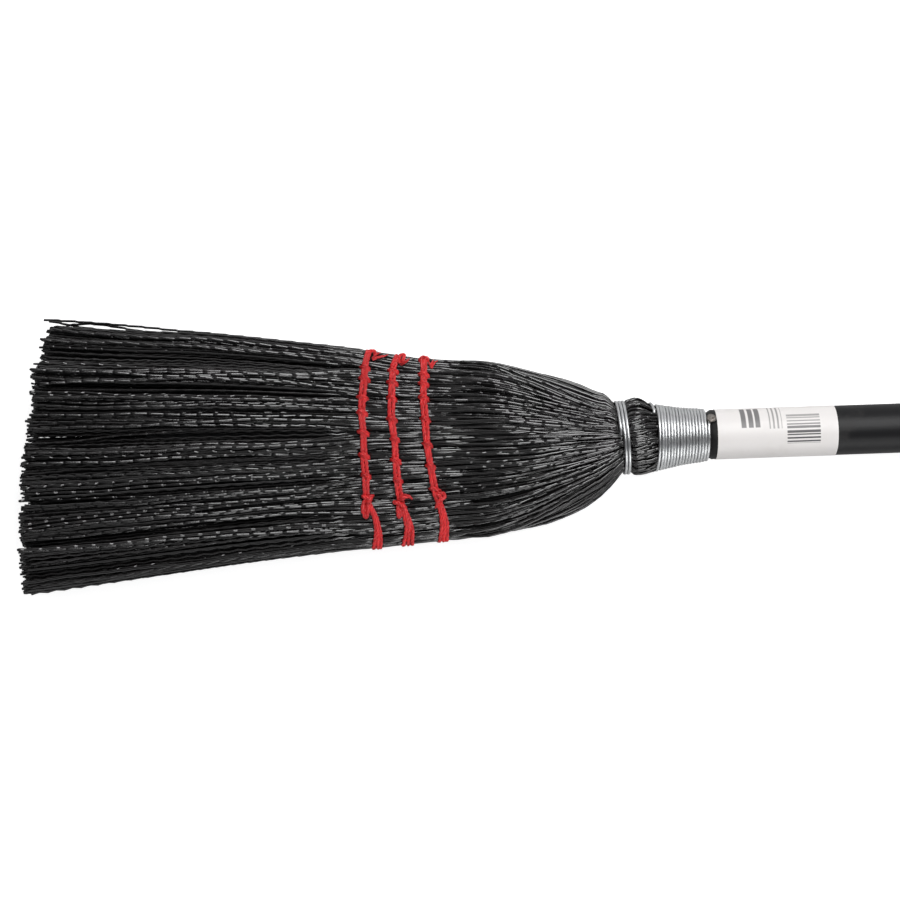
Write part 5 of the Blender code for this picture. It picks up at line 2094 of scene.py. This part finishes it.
@dataclass
class Studio:
    """Pale floor, soft lights and the camera straight above the head."""

    floor_size: float = 6.0
    floor_drop: float = 0.0012
    floor_colour: tuple[float, float, float, float] = (0.6, 0.6, 0.6, 1.0)
    floor_shine: float = 0.85
    sky: tuple[float, float, float, float] = (0.92, 0.95, 1.0, 1.0)
    sky_strength: float = 0.06
    camera_x: float = -80.0 * MM
    camera_y: float = -2.9 * MM
    camera_height: float = 801.0 * MM
    lens: float = 71.4
    sensor: float = 36.0
    roll: float = 0.0345
    panels: tuple[Panel, ...] = (
        Panel("upper_key", (0.25, 0.466, 0.885), (0.56, 0.84), 5.9),
        Panel("upper_wall", (0.1, 0.848, 0.530), (2.8, 1.06), 0.50),
        Panel("lower_key", (0.25, -0.902, 0.432), (0.56, 0.74), 2.3),
        Panel("lower_wall", (0.1, -0.927, 0.375), (2.8, 0.82), 0.42),
    )

    def build(self, axes: BroomAxes) -> None:
        """Make the floor, the lights, the world and the camera.

        Args:
            axes: The broom's axes.
        """
        self.floor()
        for panel in self.panels:
            self.light(panel, axes)
        world = bpy.data.worlds.new("studio")
        world.use_nodes = True
        background = world.node_tree.nodes["Background"]
        background.inputs["Color"].default_value = self.sky
        background.inputs["Strength"].default_value = self.sky_strength
        bpy.context.scene.world = world
        self.camera(axes)

    def floor(self) -> None:
        """Make the pale floor, which shows white and throws little light back."""
        half = self.floor_size / 2
        mesh = bpy.data.meshes.new("floor")
        corners = [(-half, -half, 0.0), (half, -half, 0.0), (half, half, 0.0), (-half, half, 0.0)]
        mesh.from_pydata(corners, [], [(0, 1, 2, 3)])
        floor = bpy.data.objects.new("floor", mesh)
        bpy.context.scene.collection.objects.link(floor)
        paint = Paint("pale_floor")
        paint.set(Roughness=0.9)
        paint.shader.inputs["Base Color"].default_value = self.floor_colour
        paint.shader.inputs["Emission Color"].default_value = (1.0, 1.0, 1.0, 1.0)
        seen = paint.tree.nodes.new("ShaderNodeLightPath").outputs["Is Camera Ray"]
        shine = paint.math("MULTIPLY", seen, self.floor_shine)
        paint.tree.links.new(shine, paint.shader.inputs["Emission Strength"])
        mesh.materials.append(paint.material)
        floor.location.z = -self.floor_drop

    def light(self, panel: Panel, axes: BroomAxes) -> None:
        """Make one light.

        Args:
            panel: The light.
            axes: The broom's axes.
        """
        data = bpy.data.lights.new(panel.name, "AREA")
        data.shape = "RECTANGLE"
        data.size, data.size_y = panel.size
        data.energy = panel.power * math.pi * panel.size[0] * panel.size[1]
        lamp = bpy.data.objects.new(panel.name, data)
        bpy.context.scene.collection.objects.link(lamp)
        spot, aim = axes.to_frame(np.array([panel.place, (panel.place[0], 0.0, 0.0)]))
        back = unit(spot - aim)
        right = unit(np.cross(np.array([0.0, 0.0, 1.0]), back))
        lamp.matrix_world = stand(right, np.cross(back, right), back, spot)

    def camera(self, axes: BroomAxes) -> None:
        """Make the camera, straight above the head and turned a little.

        Args:
            axes: The broom's axes.
        """
        data = bpy.data.cameras.new("camera")
        data.lens = self.lens
        data.sensor_width = self.sensor
        data.clip_end = 20.0
        camera = bpy.data.objects.new("camera", data)
        bpy.context.scene.collection.objects.link(camera)
        spot = axes.to_frame(np.array([[self.camera_x, self.camera_y, self.camera_height]]))[0]
        cosine, sine = math.cos(self.roll), math.sin(self.roll)
        right = axes.rows[0] * cosine - axes.rows[1] * sine
        up = axes.rows[0] * sine + axes.rows[1] * cosine
        camera.matrix_world = stand(right, up, axes.rows[2], spot)
        bpy.context.scene.camera = camera


def dress_core_wire(material: bpy.types.Material) -> None:
    """Give the hidden binding wire the wire's finish."""
    for slot in frame["nodes"]["core_binding_wire"].material_slots:
        slot.material = material


def main() -> None:
    """Build and dress the whole broom, then light it."""
    logging.basicConfig(level=logging.INFO, format="%(name)s: %(message)s")
    axes = BroomAxes.from_record(frame["record"])
    effects = EffectGroups()
    form = HeadForm()
    wire = WireFinish().material(effects)
    twine = TwineFinish().material(effects)
    Handle().build(axes, PaintFinish().material(effects))
    PaperLabel().build(axes, PaperFinish().material(effects))
    BristleHead(form).build(axes, BristleFinish().material(effects))
    ThroatBand(form).build(axes, wire)
    NeckWinding().build(axes, wire)
    WireNail().build(axes, NailFinish().material(effects))
    dress_core_wire(wire)
    for row in ROWS:
        StitchTwine(form, row).build(axes, twine)
    Studio().build(axes)
    bpy.context.scene.view_settings.view_transform = "Standard"


if __name__ == "__main__":
    main()
